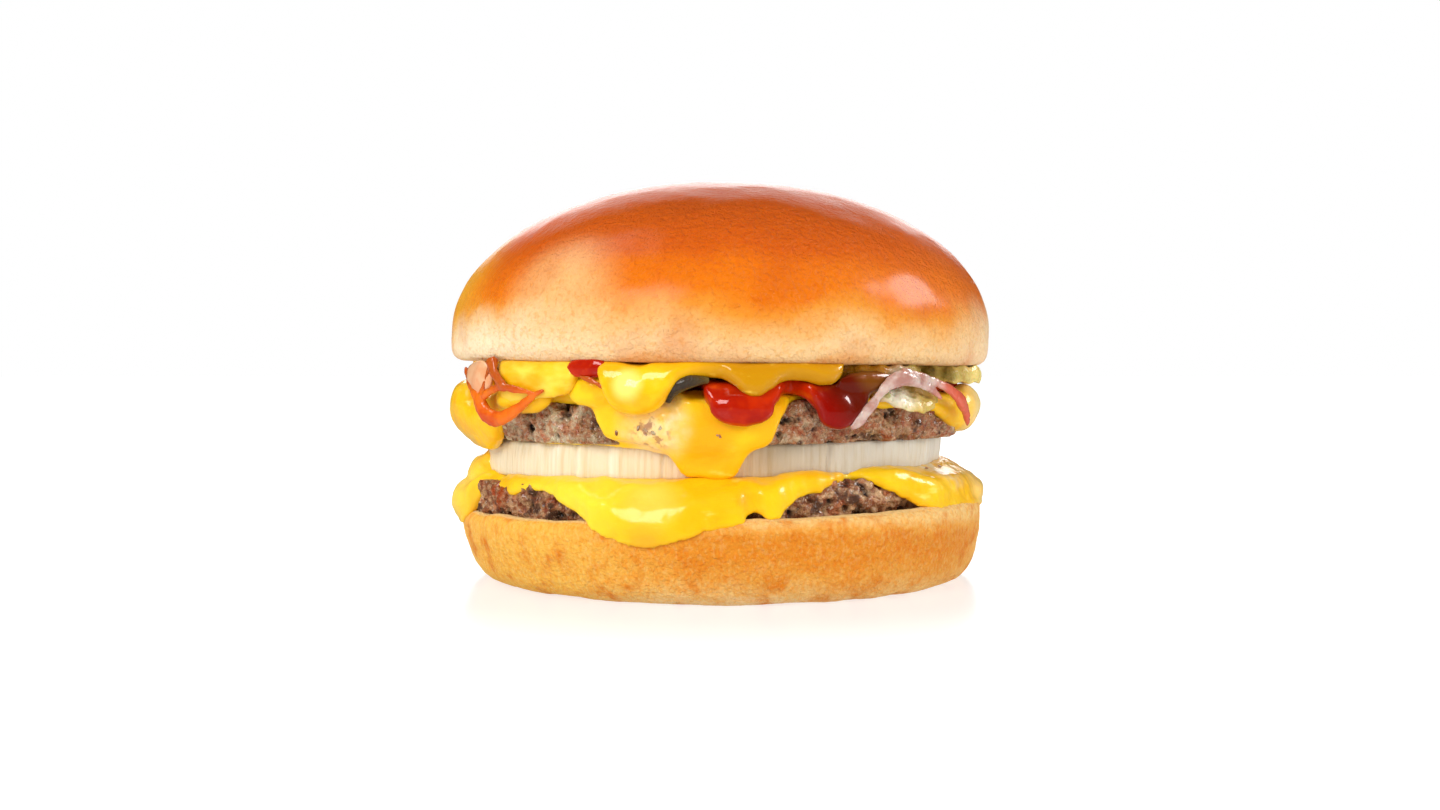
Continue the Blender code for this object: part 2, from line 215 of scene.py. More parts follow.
def lumps(angle, radius, height, size, seed):
    """Smooth unevenness from -1 to 1, of this size in millimetres, over a round body."""
    turn = math.radians(angle)
    point = Vector((radius * math.sin(turn), -radius * math.cos(turn), height))
    return noise.noise(point / size + Vector((seed, 0, 0)))


def finished_with(piece, kind, **settings):
    """Adds one modifier to a piece and applies it."""
    bpy.ops.object.select_all(action="DESELECT")
    piece.select_set(True)
    bpy.context.view_layer.objects.active = piece
    modifier = piece.modifiers.new(kind.lower(), kind)
    for setting, value in settings.items():
        setattr(modifier, setting, value)
    bpy.ops.object.modifier_apply(modifier=modifier.name)


def roughened(piece, pattern, size, depth, level=0.5):
    """Raises and sinks a surface by this many millimetres, in clouds or in cells of this size."""
    texture = bpy.data.textures.new(f"{piece.name}_{pattern.lower()}_{size}", pattern)
    texture.noise_scale = size * MM
    finished_with(
        piece, "DISPLACE", texture=texture, texture_coords="LOCAL", strength=depth * MM, mid_level=level
    )


def graded(tree, factor, stops):
    """A colour that follows a value through these stops."""
    ramp = node(tree, "ShaderNodeValToRGB", {"Fac": factor})
    while len(ramp.color_ramp.elements) < len(stops):
        ramp.color_ramp.elements.new(0.5)
    for element, (position, colour) in zip(ramp.color_ramp.elements, stops):
        element.position = position
        element.color = (*colour, 1.0)
    return ramp.outputs["Color"]


def mixed(tree, factor, first, second, blend="MIX"):
    """Two colours mixed by a mask."""
    mix = node(tree, "ShaderNodeMix", data_type="RGBA", blend_type=blend)
    for socket, value in ((0, factor), (6, first), (7, second)):
        if isinstance(value, bpy.types.NodeSocket):
            tree.links.new(value, mix.inputs[socket])
        else:
            mix.inputs[socket].default_value = value if socket == 0 else (*value, 1.0)
    return mix.outputs[2]


def blotches_group():
    """Soft blotches of one size in millimetres, as a mask between two levels."""
    group = bpy.data.node_groups.new("blotches", "ShaderNodeTree")
    usual = {"Size": 2.0, "Stretch": 1.0, "Detail": 3.0, "Low": 0.4, "High": 0.6, "Shift": 0.0}
    for name, value in usual.items():
        socket = group.interface.new_socket(name, in_out="INPUT", socket_type="NodeSocketFloat")
        socket.default_value = value
    group.interface.new_socket("Mask", in_out="OUTPUT", socket_type="NodeSocketFloat")
    given = group.nodes.new("NodeGroupInput").outputs
    here = node(group, "ShaderNodeTexCoord").outputs["Object"]
    scale = node(group, "ShaderNodeMath", {0: 1000.0, 1: given["Size"]}, operation="DIVIDE").outputs[0]
    moved = node(group, "ShaderNodeVectorMath", {0: here, 1: given["Shift"]}, operation="ADD").outputs[0]
    squeeze = node(group, "ShaderNodeCombineXYZ", {"X": 1.0, "Y": 1.0, "Z": given["Stretch"]}).outputs[0]
    spread = node(group, "ShaderNodeVectorMath", {0: moved, 1: squeeze}, operation="MULTIPLY").outputs[0]
    grain = {"Vector": spread, "Scale": scale, "Detail": given["Detail"]}
    clouds = node(group, "ShaderNodeTexNoise", grain)
    mask = node(
        group,
        "ShaderNodeMapRange",
        {"Value": clouds.outputs["Fac"], "From Min": given["Low"], "From Max": given["High"]},
        interpolation_type="SMOOTHSTEP",
    )
    group.links.new(mask.outputs[0], group.nodes.new("NodeGroupOutput").inputs["Mask"])
    return group


BLOTCHES = blotches_group()


def blotches(tree, size, low, high, detail=3.0, stretch=1.0, shift=0.0):
    """A mask of soft blotches of this size, in millimetres."""
    given = {"Size": size, "Low": low, "High": high, "Detail": detail, "Stretch": stretch, "Shift": shift}
    return node(tree, "ShaderNodeGroup", given, node_tree=BLOTCHES).outputs["Mask"]


def overlap(tree, first, second):
    """Where two masks overlap."""
    return node(tree, "ShaderNodeMath", {0: first, 1: second}, operation="MULTIPLY").outputs[0]


def finish(name, roughness, **more):
    """A new material, its node tree and its shader, with plain values on the shader's own sockets."""
    material = bpy.data.materials.new(name)
    material.use_nodes = True
    shader = material.node_tree.nodes["Principled BSDF"]
    shader.inputs["Roughness"].default_value = roughness
    for socket, value in more.items():
        shader.inputs[socket.replace("_", " ")].default_value = value
    return material, material.node_tree, shader


def embossed(tree, shader, heights, depth):
    """Feeds a bump of this depth in millimetres, summed from masks and their weights."""
    total = 0.0
    for height, weight in heights:
        sums = {0: height, 1: weight, 2: total}
        total = node(tree, "ShaderNodeMath", sums, operation="MULTIPLY_ADD").outputs[0]
    bump = node(tree, "ShaderNodeBump", {"Height": total, "Distance": depth * MM, "Strength": 1.0})
    tree.links.new(bump.outputs["Normal"], shader.inputs["Normal"])


def at_height(tree, low, high, waver=0.0, size=6.0, tilt=0.0):
    """0 at one height and 1 at another, in millimetres; the line between them wavers and may tilt."""
    here = node(tree, "ShaderNodeTexCoord").outputs["Object"]
    x, _, z = node(tree, "ShaderNodeSeparateXYZ", {0: here}).outputs
    wavering = {0: blotches(tree, size, 0.3, 0.7), 1: waver * MM, 2: z}
    sway = node(tree, "ShaderNodeMath", wavering, operation="MULTIPLY_ADD").outputs[0]
    tilted = node(tree, "ShaderNodeMath", {0: x, 1: tilt, 2: sway}, operation="MULTIPLY_ADD").outputs[0]
    ends = {"From Min": (low + waver / 2) * MM, "From Max": (high + waver / 2) * MM}
    return node(tree, "ShaderNodeMapRange", {"Value": tilted, **ends}).outputs[0]


def near(tree, angle, height, out, inner, outer):
    """1 within a distance of one spot on the side of the burger, fading to 0 further away."""
    turn = math.radians(angle)
    spot = Vector((out * math.sin(turn), -out * math.cos(turn), height)) * MM
    here = node(tree, "ShaderNodeTexCoord").outputs["Object"]
    away = node(tree, "ShaderNodeVectorMath", {0: here, 1: spot}, operation="DISTANCE").outputs["Value"]
    ends = {"Value": away, "From Min": inner * MM, "From Max": outer * MM, "To Min": 1.0, "To Max": 0.0}
    return node(tree, "ShaderNodeMapRange", ends, interpolation_type="SMOOTHSTEP").outputs[0]


def spotted(tree, colour, spots):
    """Paints soft spots over a colour. A spot is its angle, height, distance out, inner and outer
    radius, and its colour."""
    for *spot, paint in spots:
        colour = mixed(tree, near(tree, *spot), colour, paint)
    return colour


def ridden(piece, slot, material, *nodes):
    """Gives a piece its finish and sets it on the burger, in place of the plain solids it stands for."""
    piece.data.materials.clear()
    piece.data.materials.append(material)
    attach(piece, "root")
    if nodes:
        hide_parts(*nodes)


def heel_outline(angle):
    uneven = 1 + 0.006 * lumps(angle, BUN_RADIUS, 0, 30, 3.0)
    rim = 0.35 * lumps(angle, 50, 9, 7, 14.0)
    wall = (
        (43.0, 0.0), (44.6, 0.12), (46.2, 0.8), (47.5, 2.0), (48.4, 3.4),
        (49.0, 5.0), (49.5, 7.0), (50.0, 9.0), (50.25, 10.8), (50.4, 12.5),
    )
    lip = ((50.2, 13.6), (49.6, 14.4), (48.6, 14.8), (47.4, 14.7), (46.0, 14.0), (44.5, HEEL_HEIGHT))
    side = [(radius * uneven, height) for radius, height in wall]
    side += [(radius * uneven, height + rim) for radius, height in lip]
    return [(0, 0), *side, (0, HEEL_HEIGHT)]


heel = moulded("bun_heel", heel_outline, ROUND, 102, crowded_from=40, crowding=5)
roughened(heel, "CLOUDS", 14, 0.9)
roughened(heel, "CLOUDS", 2.2, 0.18)
# What the roughening pushes below the table is put back on it
for point in heel.data.vertices:
    point.co.z = max(point.co.z, 0.0)
golden, tree, shader = finish(
    "golden_crust_baked",
    0.6,
    Specular_IOR_Level=0.25,
    Specular_Tint=(1.0, 0.7, 0.35, 1.0),
    Subsurface_Weight=0.12,
    Subsurface_Scale=0.002,
)
shader.inputs["Subsurface Radius"].default_value = (1.0, 0.45, 0.2)
side = graded(
    tree,
    at_height(tree, 0, 15, waver=1.4, size=7, tilt=0.03),
    (
        (0.00, (0.92, 0.62, 0.30)),
        (0.16, (0.86, 0.48, 0.15)),
        (0.36, (0.80, 0.34, 0.050)),
        (0.58, (0.78, 0.27, 0.020)),
        (0.80, (0.74, 0.26, 0.022)),
        (0.90, (0.82, 0.36, 0.055)),
        (1.00, (0.88, 0.54, 0.19)),
    ),
)
# Painted light: the side is painted paler at the left and on both flanks, where the lamps light it most.
side = spotted(
    tree,
    side,
    (
        (-50, 8, 50, 12, 42, (0.88, 0.46, 0.070)),
        (-86, 8, 50, 2, 22, (0.97, 0.60, 0.16)),
        (86, 8, 50, 2, 26, (0.92, 0.52, 0.14)),
    ),
)
toasted = mixed(tree, blotches(tree, 5, 0.48, 0.72, detail=5), side, (0.74, 0.23, 0.014))
grain = blotches(tree, 0.8, 0.44, 0.64, detail=3, stretch=0.7)
grained = mixed(tree, grain, toasted, (0.98, 0.82, 0.58), blend="MULTIPLY")
flecks = blotches(tree, 0.7, 0.48, 0.66, detail=3, stretch=0.7, shift=3.0)
flecked = mixed(tree, flecks, grained, (0.07, 0.09, 0.04), blend="SCREEN")
normal = node(tree, "ShaderNodeNewGeometry").outputs["Normal"]
facing_up = node(tree, "ShaderNodeSeparateXYZ", {0: normal}).outputs["Z"]
levelled = {"Value": facing_up, "From Min": 0.82, "From Max": 0.97}
cut_face = node(tree, "ShaderNodeMapRange", levelled).outputs[0]
tree.links.new(mixed(tree, cut_face, flecked, (0.92, 0.62, 0.26)), shader.inputs["Base Color"])
fine_pores = blotches(tree, 0.6, 0.3, 0.7, detail=5)
embossed(tree, shader, ((fine_pores, 1.0), (blotches(tree, 1.4, 0.3, 0.7), 0.8)), 0.2)
ridden(heel, "golden_crust", golden, "heel")


# Patties: two thin rounds of minced beef, smashed on a hot plate until their edges browned, cracked
# and pitted, and still moist. The pits are painted dark as shade, and the lumps between them tan.
beef, tree, shader = finish(
    "browned_beef_moist", 0.5, Specular_IOR_Level=0.35, Coat_Weight=0.55, Coat_Roughness=0.16
)
raised = node(tree, "ShaderNodeAttribute", attribute_name="raised").outputs["Fac"]
on_upper = at_height(tree, UPPER_PATTY - 2, UPPER_PATTY - 1)
mince = blotches(tree, 1.1, 0.38, 0.62, detail=5)
upper_tan = mixed(tree, mince, (0.82, 0.39, 0.20), (1.0, 0.84, 0.54))
ruddy = mixed(tree, near(tree, 40, 30, 46, 8, 34), upper_tan, (0.86, 0.62, 0.52), blend="MULTIPLY")
# A darker brown spot on the upper patty, left of the middle.
singed = mixed(tree, near(tree, -23, 31, 46, 2, 8), ruddy, (0.55, 0.42, 0.34), blend="MULTIPLY")
lower_tan = mixed(tree, mince, (0.50, 0.17, 0.065), (1.0, 0.62, 0.33))
tan = mixed(tree, on_upper, lower_tan, singed)
browned = blotches(tree, 6, 0.44, 0.60, detail=5, shift=11.0)
browner = mixed(tree, browned, tan, (0.74, 0.64, 0.57), blend="MULTIPLY")
underdone = blotches(tree, 2.6, 0.50, 0.66, shift=1.0)
rosy = mixed(tree, underdone, browner, (0.84, 0.52, 0.42), blend="MULTIPLY")
charred = mixed(tree, blotches(tree, 3.2, 0.54, 0.66, detail=5, shift=2.0), rosy, (0.15, 0.06, 0.03))
# Painted shade: where the surface sank in, the pits are painted near black.
pitted = graded(tree, raised, ((0.22, (1, 1, 1)), (0.48, (0.14, 0.14, 0.14)), (0.62, (0, 0, 0))))
dark = mixed(tree, pitted, charred, (0.035, 0.014, 0.008))
# Pale specks: partly flecks of fat and partly painted glints of wet light.
grey = mixed(tree, blotches(tree, 0.7, 0.60, 0.68, detail=5, shift=4.0), dark, (0.82, 0.60, 0.44))
juicy = overlap(tree, near(tree, -57, 17.6, 47, 1.2, 4.2), blotches(tree, 1.6, 0.36, 0.50))
tree.links.new(mixed(tree, juicy, grey, (0.62, 0.09, 0.006)), shader.inputs["Base Color"])
dry = blotches(tree, 1.4, 0.4, 0.65, shift=6.0)
gloss = node(tree, "ShaderNodeMapRange", {"Value": dry, "To Min": 0.25, "To Max": 0.60})
tree.links.new(gloss.outputs[0], shader.inputs["Roughness"])
fine_grain = blotches(tree, 0.45, 0.25, 0.75, detail=6)
embossed(tree, shader, ((fine_grain, 1.0), (blotches(tree, 1.0, 0.3, 0.7, detail=5), 1.0)), 0.7)


def places(piece):
    """Every point of a piece, in millimetres."""
    flat = np.empty(3 * len(piece.data.vertices))
    piece.data.vertices.foreach_get("co", flat)
    return flat.reshape(-1, 3) / MM


def noted(piece, name, values):
    """Keeps one number a point on a piece, for its material."""
    attribute = piece.data.attributes.new(name, "FLOAT", "POINT")
    attribute.data.foreach_set("value", np.asarray(values, np.float32))


PATTY_RADIUS = 45.7
# Where the lower patty's rim stands out: angle, half width and amount
LOWER_CRAGS = ((298, 12, 1.6), (7, 5, 1.0))
# Name, node, underside, height, seed and crags
PATTIES = (
    ("beef_patty_lower", "lower_patty", LOWER_PATTY, LOWER_PATTY_HEIGHT, 11.0, LOWER_CRAGS),
    ("beef_patty_upper", "upper_patty", UPPER_PATTY, UPPER_PATTY_HEIGHT, 23.0, ()),
)
for name, cad_node, bottom, height, seed, crags in PATTIES:

    def patty_outline(angle):
        edge = PATTY_RADIUS + 0.8 * lumps(angle, 46, bottom, 11, seed)
        edge += sum(amount * math.exp(-(((angle - centre) / half) ** 2)) for centre, half, amount in crags)
        crest = 0.5 * lumps(angle, 46, bottom, 12, seed + 5) + 0.2
        corner = height / 2
        arc = []
        for turn in np.radians(np.arange(-88, 89, 4)):
            rise = 1 + math.sin(turn)
            out = edge - corner + corner * math.cos(turn) ** (0.3 if turn < 0 else 0.7)
            out += 0.7 * math.cos(turn) * lumps(angle, 46, bottom + corner * rise, 3.2, seed + 9)
            arc.append((out, bottom + corner * rise + crest * rise / 2))
        return [(0, bottom), *arc, (edge - corner - 6, bottom + height), (0, bottom + height)]

    patty = moulded(name, patty_outline, 800, 100, crowded_from=37, crowding=9)
    before = places(patty)
    roughened(patty, "CLOUDS", 6, 1.8)
    roughened(patty, "VORONOI", 3.4, 2.6, level=0.38)
    roughened(patty, "VORONOI", 1.3, 1.2, level=0.42)
    roughened(patty, "CLOUDS", 0.6, 0.55)
    shape = places(patty)
    lean = np.interp(bottom + height / 2, SETTLE_HEIGHTS, SETTLE_LEANS) * shape[:, 0]
    roof = bottom + height + 0.2
    shape[:, 2] = np.clip(shape[:, 2] - lean, bottom - 0.1, roof) + lean
    patty.data.vertices.foreach_set("co", (shape * MM).ravel())
    moved = shape - before
    away = before - settled(np.array([[0.0, 0.0, bottom + height / 2]]))
    away[:, :2] *= 0.5
    height_moved = (moved * away).sum(axis=1) / np.maximum(np.linalg.norm(away, axis=1), 1e-6)
    noted(patty, "raised", np.clip(0.5 + 0.5 * height_moved, 0, 1))
    bpy.ops.object.shade_smooth()
    ridden(patty, "browned_beef", beef, cad_node)


# Cheese: two slices of processed cheddar, melted over the patties. The lower one runs down on to the
# heel and over its rim; the upper one sags over its patty and drips across the onion.
cheese, tree, shader = finish(
    "melted_cheese_glossy",
    0.4,
    Specular_IOR_Level=0.3,
    Specular_Tint=(1.0, 0.8, 0.3, 1.0),
    Coat_Weight=0.45,
    Coat_Roughness=0.12,
    Subsurface_Weight=0.2,
    Subsurface_Scale=0.002,
)
shader.inputs["Subsurface Radius"].default_value = (1.0, 0.5, 0.08)
deep = mixed(tree, blotches(tree, 9, 0.38, 0.66), (0.94, 0.48, 0.003), (0.96, 0.57, 0.007))
streak = mixed(tree, blotches(tree, 5, 0.60, 0.80, stretch=3.0, shift=2.0), deep, (1.0, 0.70, 0.10))
orange = mixed(tree, blotches(tree, 7, 0.58, 0.78, shift=5.0), streak, (0.98, 0.40, 0.004))
# Spots painted on the cheese: paler at the front left and at both ends of the lower slice and on the right
# fold of the upper one, painted light; a paler patch at the front of the lower slice, a painted highlight;
# deeper orange below the main ketchup drip, and where the lower slice thins at its foot.
orange = spotted(
    tree,
    orange,
    (
        (-34, 19, 50, 4, 20, (1.0, 0.68, 0.035)),
        (-82, 17, 50, 2, 14, (1.0, 0.69, 0.11)),
        (80, 18, 50, 3, 12, (0.98, 0.62, 0.16)),
        (76, 33, 48, 2, 8, (0.98, 0.70, 0.28)),
        (-13, 18.8, 51, 2, 7, (0.98, 0.58, 0.06)),
        (-2, 28.5, 48, 2, 7, (0.88, 0.40, 0.003)),
        (-14, 10.6, 51, 1, 5, (0.90, 0.42, 0.012)),
    ),
)
peach = mixed(tree, blotches(tree, 3, 0.40, 0.62, shift=9.0), (0.94, 0.60, 0.18), (0.92, 0.68, 0.34))
torn = blotches(tree, 1.5, 0.46, 0.58, detail=4, shift=8.0)
smear = overlap(tree, near(tree, -13.6, 29.5, 48.4, 1.6, 5.0), torn)
smudge = mixed(tree, smear, peach, (0.44, 0.22, 0.12))
# Pale peach patches on the cheese draped left of the middle: partly the cheese's own paler colour and
# partly painted highlight.
drape = overlap(tree, near(tree, -13, 30.4, 48, 3, 8), blotches(tree, 5, 0.20, 0.55, shift=4.0))
draped = mixed(tree, drape, orange, smudge)
# A painted highlight: the bare top of the lower slice at the right is painted whitish where it catches the
# light.
greasy = overlap(tree, near(tree, 62, 22.6, 46, 2, 7), blotches(tree, 2.4, 0.36, 0.60, shift=6.0))
tree.links.new(mixed(tree, greasy, draped, (0.84, 0.68, 0.40)), shader.inputs["Base Color"])
embossed(tree, shader, ((blotches(tree, 1.6, 0.3, 0.7), 1.0),), 0.05)


def edge_at(angle, marks):
    """The height at which a sheet ends at this angle, eased between (angle, height) marks all round."""
    angles = np.array([mark[0] for mark in marks], float)
    heights = np.array([mark[1] for mark in marks], float)
    angle = (angle - angles[0]) % 360 + angles[0]
    angles = np.append(angles, angles[0] + 360)
    heights = np.append(heights, heights[0])
    i = int(np.clip(np.searchsorted(angles, angle, "right") - 1, 0, len(angles) - 2))
    t = (angle - angles[i]) / (angles[i + 1] - angles[i])
    t = t * t * (3 - 2 * t) * 0.6 + t * 0.4
    return float(heights[i] + (heights[i + 1] - heights[i]) * t)


def sheet_outline(angle, bed, under, over, marks, bead, thin=0.0, flare=0.0, lift=0.0):
    """A soft sheet's outline at one angle: out along its underside to the height where it ends there,
    round a fat lip and back along its top side. Both sides are (radius, height above the bed)."""
    under = np.array(under, float) + (0, bed)
    over = np.array(over, float) + (0, bed)
    edge = edge_at(angle, marks)
    lean = math.sin(math.radians(angle)) * 48 * np.interp(edge, SETTLE_HEIGHTS, SETTLE_LEANS)
    steps = np.hypot(*np.diff(under, axis=0).T)
    along = np.concatenate([[0.0], np.cumsum(steps)])
    edge -= lean
    reach = 45.4 - 4 * (edge - under[0, 1])
    if edge < under[0, 1]:
        reach = float(np.interp(-edge, -under[:, 1], along))
    at = np.concatenate([np.linspace(0, 0.9 * reach, 12), np.linspace(0.9 * reach, reach, 26)[1:]])
    below = np.stack([np.interp(at, along, under[:, side]) for side in (0, 1)], axis=1)
    above = np.stack([np.interp(at, along, over[:, side]) for side in (0, 1)], axis=1)
    out = above - below
    out /= np.maximum(np.hypot(*out.T), 1e-6)[:, None]
    near_end = np.exp(-(((reach - at) / 2.2) ** 2))
    above = below + (above - below) * (1 - thin * near_end[:, None]) + out * (bead * near_end)[:, None]
    sag = np.clip((above[:, 1].max() - above[:, 1]) / 10, 0, 1)
    above[:, 0] += flare * np.sin(math.pi * sag)
    above[:, 1] += lift * np.exp(-(((at - 45.5) / 3.5) ** 2))
    tip = (below[-1] + above[-1]) / 2 + (0.15 * abs(above[-1, 0] - below[-1, 0]), -0.55 - bead * 0.3)
    lip = ((below[-1] + tip) / 2 + (0, -0.2), tip, (above[-1] + tip) / 2 + (0.1, -0.1))
    return [*below, *lip, *above[::-1]]


def lobed(angle, lobes):
    """The tallest of several flat-topped lobes at this angle. A lobe is (centre, half width, amount)."""
    apart = [(abs((angle - centre + 180) % 360 - 180) / half, amount) for centre, half, amount in lobes]
    return max(amount * math.exp(-0.7 * far**4) for far, amount in apart)


LOWER_MARKS = (
    (-90, 14.8), (-84, 12.6), (-79, 11.2), (-74, 11.4), (-70.5, 13.0), (-69, 16.0), (-67, 18.4),
    (-62, 18.9), (-57, 18.0), (-52, 17.2), (-47, 18.2), (-42, 18.5), (-38, 18.0), (-35, 16.9),
    (-31, 15.6), (-28, 14.2), (-25, 12.6), (-22, 11.5), (-19, 10.9), (-14, 10.5), (-10, 11.2),
    (-7, 12.2), (-3, 13.3), (1, 14.0), (4.4, 14.3), (5.4, 15.8), (7.6, 16.3), (9.4, 14.7), (12, 14.9),
    (14, 16.6), (17, 18.2), (20, 19.0), (22.5, 18.9), (24.5, 19.6), (28, 20.2), (31, 20.6),
    (33.5, 20.6), (36, 20.0), (39, 18.6), (43, 17.2), (47, 15.8), (52, 15.0), (61, 15.2), (72, 14.8),
    (80, 14.2), (90, 14.0), (104, 13.0), (118, 11.6), (130, 15.0), (138, 18.6), (148, 18.2),
    (156, 15.0), (170, 12.0), (182, 10.8), (192, 13.6), (203, 17.6), (214, 18.4), (224, 14.2),
    (236, 12.6), (250, 15.8), (258, 17.4),
)
LOWER_UNDER = (
    (0, -0.4), (40, -0.4), (43.6, -0.5), (45.3, -1.2), (46.2, -2.6), (46.9, -4.4), (48.0, -5.9),
    (49.6, -6.8), (50.1, -8.0), (50.0, -10.0), (49.8, -12.0),
)
LOWER_OVER = (
    (0, 0.9), (41, 1.0), (44.6, 1.4), (47.3, 0.5), (48.8, -0.9), (49.9, -2.6), (50.7, -4.4),
    (51.4, -5.9), (51.7, -7.6), (51.6, -9.6), (51.4, -11.6),
)


def lower_cheese_outline(angle):
    lift = lobed(angle, ((33, 15, 1.0),))
    return sheet_outline(
        angle, LOWER_CHEESE, LOWER_UNDER, LOWER_OVER, LOWER_MARKS, 0.0, thin=0.5, lift=lift
    )


lower_cheese = moulded("cheese_lower", lower_cheese_outline, ROUND, 100, crowding=5)
UPPER_MARKS = (
    (-90, 28.4), (-84, 28.6), (-80, 26.8), (-75, 25.6), (-65, 25.4), (-61, 26.2), (-58, 27.1),
    (-56, 29.0), (-54, 30.9), (-51, 32.0), (-47, 33.0), (-43, 33.5), (-39, 33.8), (-34, 33.8),
    (-30, 33.5), (-28, 32.8), (-26, 31.3), (-25, 29.6), (-24, 28.4), (-22, 27.9), (-16, 27.5),
    (-13, 27.2), (-11, 26.5), (-9.5, 25.4), (-8.5, 24.0), (-7.5, 22.8), (-6, 22.0), (-3, 22.1),
    (0, 21.7), (3, 21.9), (4.6, 22.4), (5.2, 23.6), (5.8, 25.2), (6.6, 26.4), (8, 27.0), (10, 27.3),
    (11.2, 28.0), (12.2, 30.4), (13.2, 32.6), (15, 34.0), (17, 34.8), (21, 35.1), (28, 34.0),
    (33, 33.2), (48, 33.2), (53, 32.6), (60, 31.0), (66, 29.6), (72, 28.4), (80, 28.0), (86, 29.4),
    (92, 31.0), (104, 31.6), (116, 28.6), (126, 28.8), (138, 32.4), (150, 28.0), (159, 24.0),
    (168, 29.4), (180, 32.6), (194, 28.2), (206, 29.6), (218, 33.2), (228, 27.6), (234, 25.0),
    (243, 29.4), (256, 31.6),
)
UPPER_UNDER = (
    (0, -0.4), (40, -0.4), (43.6, -0.4), (45.6, -1.2), (46.0, -2.6), (46.1, -4.6), (45.6, -6.8),
    (44.6, -8.4), (43.6, -10.2), (43.4, -12.0), (43.4, -14.6),
)
UPPER_OVER = (
    (0, 0.9), (40, 0.9), (44.4, 0.9), (46.8, 0.5), (48.3, -0.9), (48.9, -3.0), (48.7, -5.6),
    (48.0, -7.8), (46.9, -9.6), (46.3, -11.4), (46.1, -14.0),
)
UPPER_FLARES = ((-88, 24, 2.5), (82, 12, 1.4), (180, 40, 0.6))
UPPER_LIFTS = ((-40, 18, 2.2), (-3, 8, 1.4), (-24, 6, 1.8))


def upper_cheese_outline(angle):
    flare = lobed(angle, UPPER_FLARES)
    lift = lobed(angle, UPPER_LIFTS)
    return sheet_outline(
        angle, UPPER_CHEESE, UPPER_UNDER, UPPER_OVER, UPPER_MARKS, 0.2, thin=0.2, flare=flare, lift=lift
    )


upper_cheese = moulded("cheese_upper", upper_cheese_outline, ROUND, 100, crowding=5)


def string(name, marks):
    """A rounded string of something soft, through (angle, height, distance out, thickness) marks."""
    line = bpy.data.curves.new(name, "CURVE")
    line.dimensions = "3D"
    line.bevel_depth = MM
    line.bevel_resolution = 4
    line.use_fill_caps = True
    path = line.splines.new("NURBS")
    path.points.add(len(marks) - 1)
    for point, (angle, height, out, thickness) in zip(path.points, marks):
        turn = math.radians(angle)
        point.co = (out * math.sin(turn) * MM, -out * math.cos(turn) * MM, height * MM, 1.0)
        point.radius = thickness
    path.use_endpoint_u = True
    path.order_u = 3
    path.resolution_u = 8
    piece = bpy.data.objects.new(name, line)
    bpy.context.collection.objects.link(piece)
    bpy.ops.object.select_all(action="DESELECT")
    piece.select_set(True)
    bpy.context.view_layer.objects.active = piece
    bpy.ops.object.convert(target="MESH")
    return bpy.context.object


def joined(piece, others):
    """Joins pieces into the first one."""
    bpy.ops.object.select_all(action="DESELECT")
    for other in (*others, piece):
        other.select_set(True)
    bpy.context.view_layer.objects.active = piece
    bpy.ops.object.join()


def blob(name, angle, height, out, size):
    """A rounded blob against the side of the stack, size across, down and outwards."""
    turn = math.radians(angle)
    bpy.ops.object.select_all(action="DESELECT")
    bpy.ops.mesh.primitive_uv_sphere_add(
        segments=32,
        ring_count=24,
        radius=MM,
        location=(out * math.sin(turn) * MM, -out * math.cos(turn) * MM, height * MM),
        rotation=(0, 0, turn),
        scale=(size[0] / 2, size[2] / 2, size[1] / 2),
    )
    piece = bpy.context.object
    piece.name = name
    bpy.ops.object.transform_apply(location=True, rotation=True, scale=True)
    return piece


def fused(piece, voxel, smoothing):
    """Melts what is joined in one piece together, with voxels of this many millimetres, and smooths
    the seams."""
    finished_with(piece, "REMESH", mode="VOXEL", voxel_size=voxel * MM)
    finished_with(piece, "SMOOTH", factor=0.5, iterations=smoothing)


UPPER_THREAD = (
    (-54, 27.6, 43.8, 0.35), (-46, 27.5, 44.4, 0.6), (-40, 27.2, 44.5, 0.45), (-34, 27.5, 44.6, 0.7),
    (-29, 27.1, 44.6, 0.5), (-24, 27.3, 44.6, 0.8), (-18, 27.4, 44.8, 1.1), (-13, 26.8, 45.0, 0.9),
    (-9, 25.4, 45.2, 0.5),
)
joined(
    lower_cheese,
    [
        blob("cheese_tongue", -77, 22.2, 44.4, (7.0, 5.0, 3.6)),
        blob("cheese_slope", -80, 19.4, 45.7, (14, 8.4, 6.2)),
        blob("cheese_bulge_left", -83, 14.8, 48.8, (20, 8.0, 6.0)),
        blob("cheese_bulge_right", 82, 16.6, 49.4, (16, 5.0, 4.0)),
    ],
)
joined(
    upper_cheese,
    [
        string("cheese_thread", UPPER_THREAD),
        blob("cheese_fold_left", -79, 32.8, 48.4, (22, 10.5, 7.8)),
        blob("cheese_fold_right", 76, 32.8, 47.4, (14, 8.5, 6.8)),
        blob("cheese_under_sauce", -46, 34.8, 47.8, (15, 5.4, 5.0)),
        blob("cheese_beside_lobe", -26, 36.4, 48.0, (11.0, 6.0, 4.6)),
    ],
)
for slice_of_cheese, cad_node in ((lower_cheese, "lower_cheese"), (upper_cheese, "upper_cheese")):
    fused(slice_of_cheese, 0.5, 5)
    roughened(slice_of_cheese, "CLOUDS", 8, 0.9)
    roughened(slice_of_cheese, "CLOUDS", 2.6, 0.35)
    bpy.ops.object.shade_smooth()
    ridden(slice_of_cheese, "melted_cheese", cheese, cad_node)


# Crumbs of beef: small bits that broke off the patties and stuck to the melted cheese. They are
# browned like the patties, and half sunk in the slice that carries them.

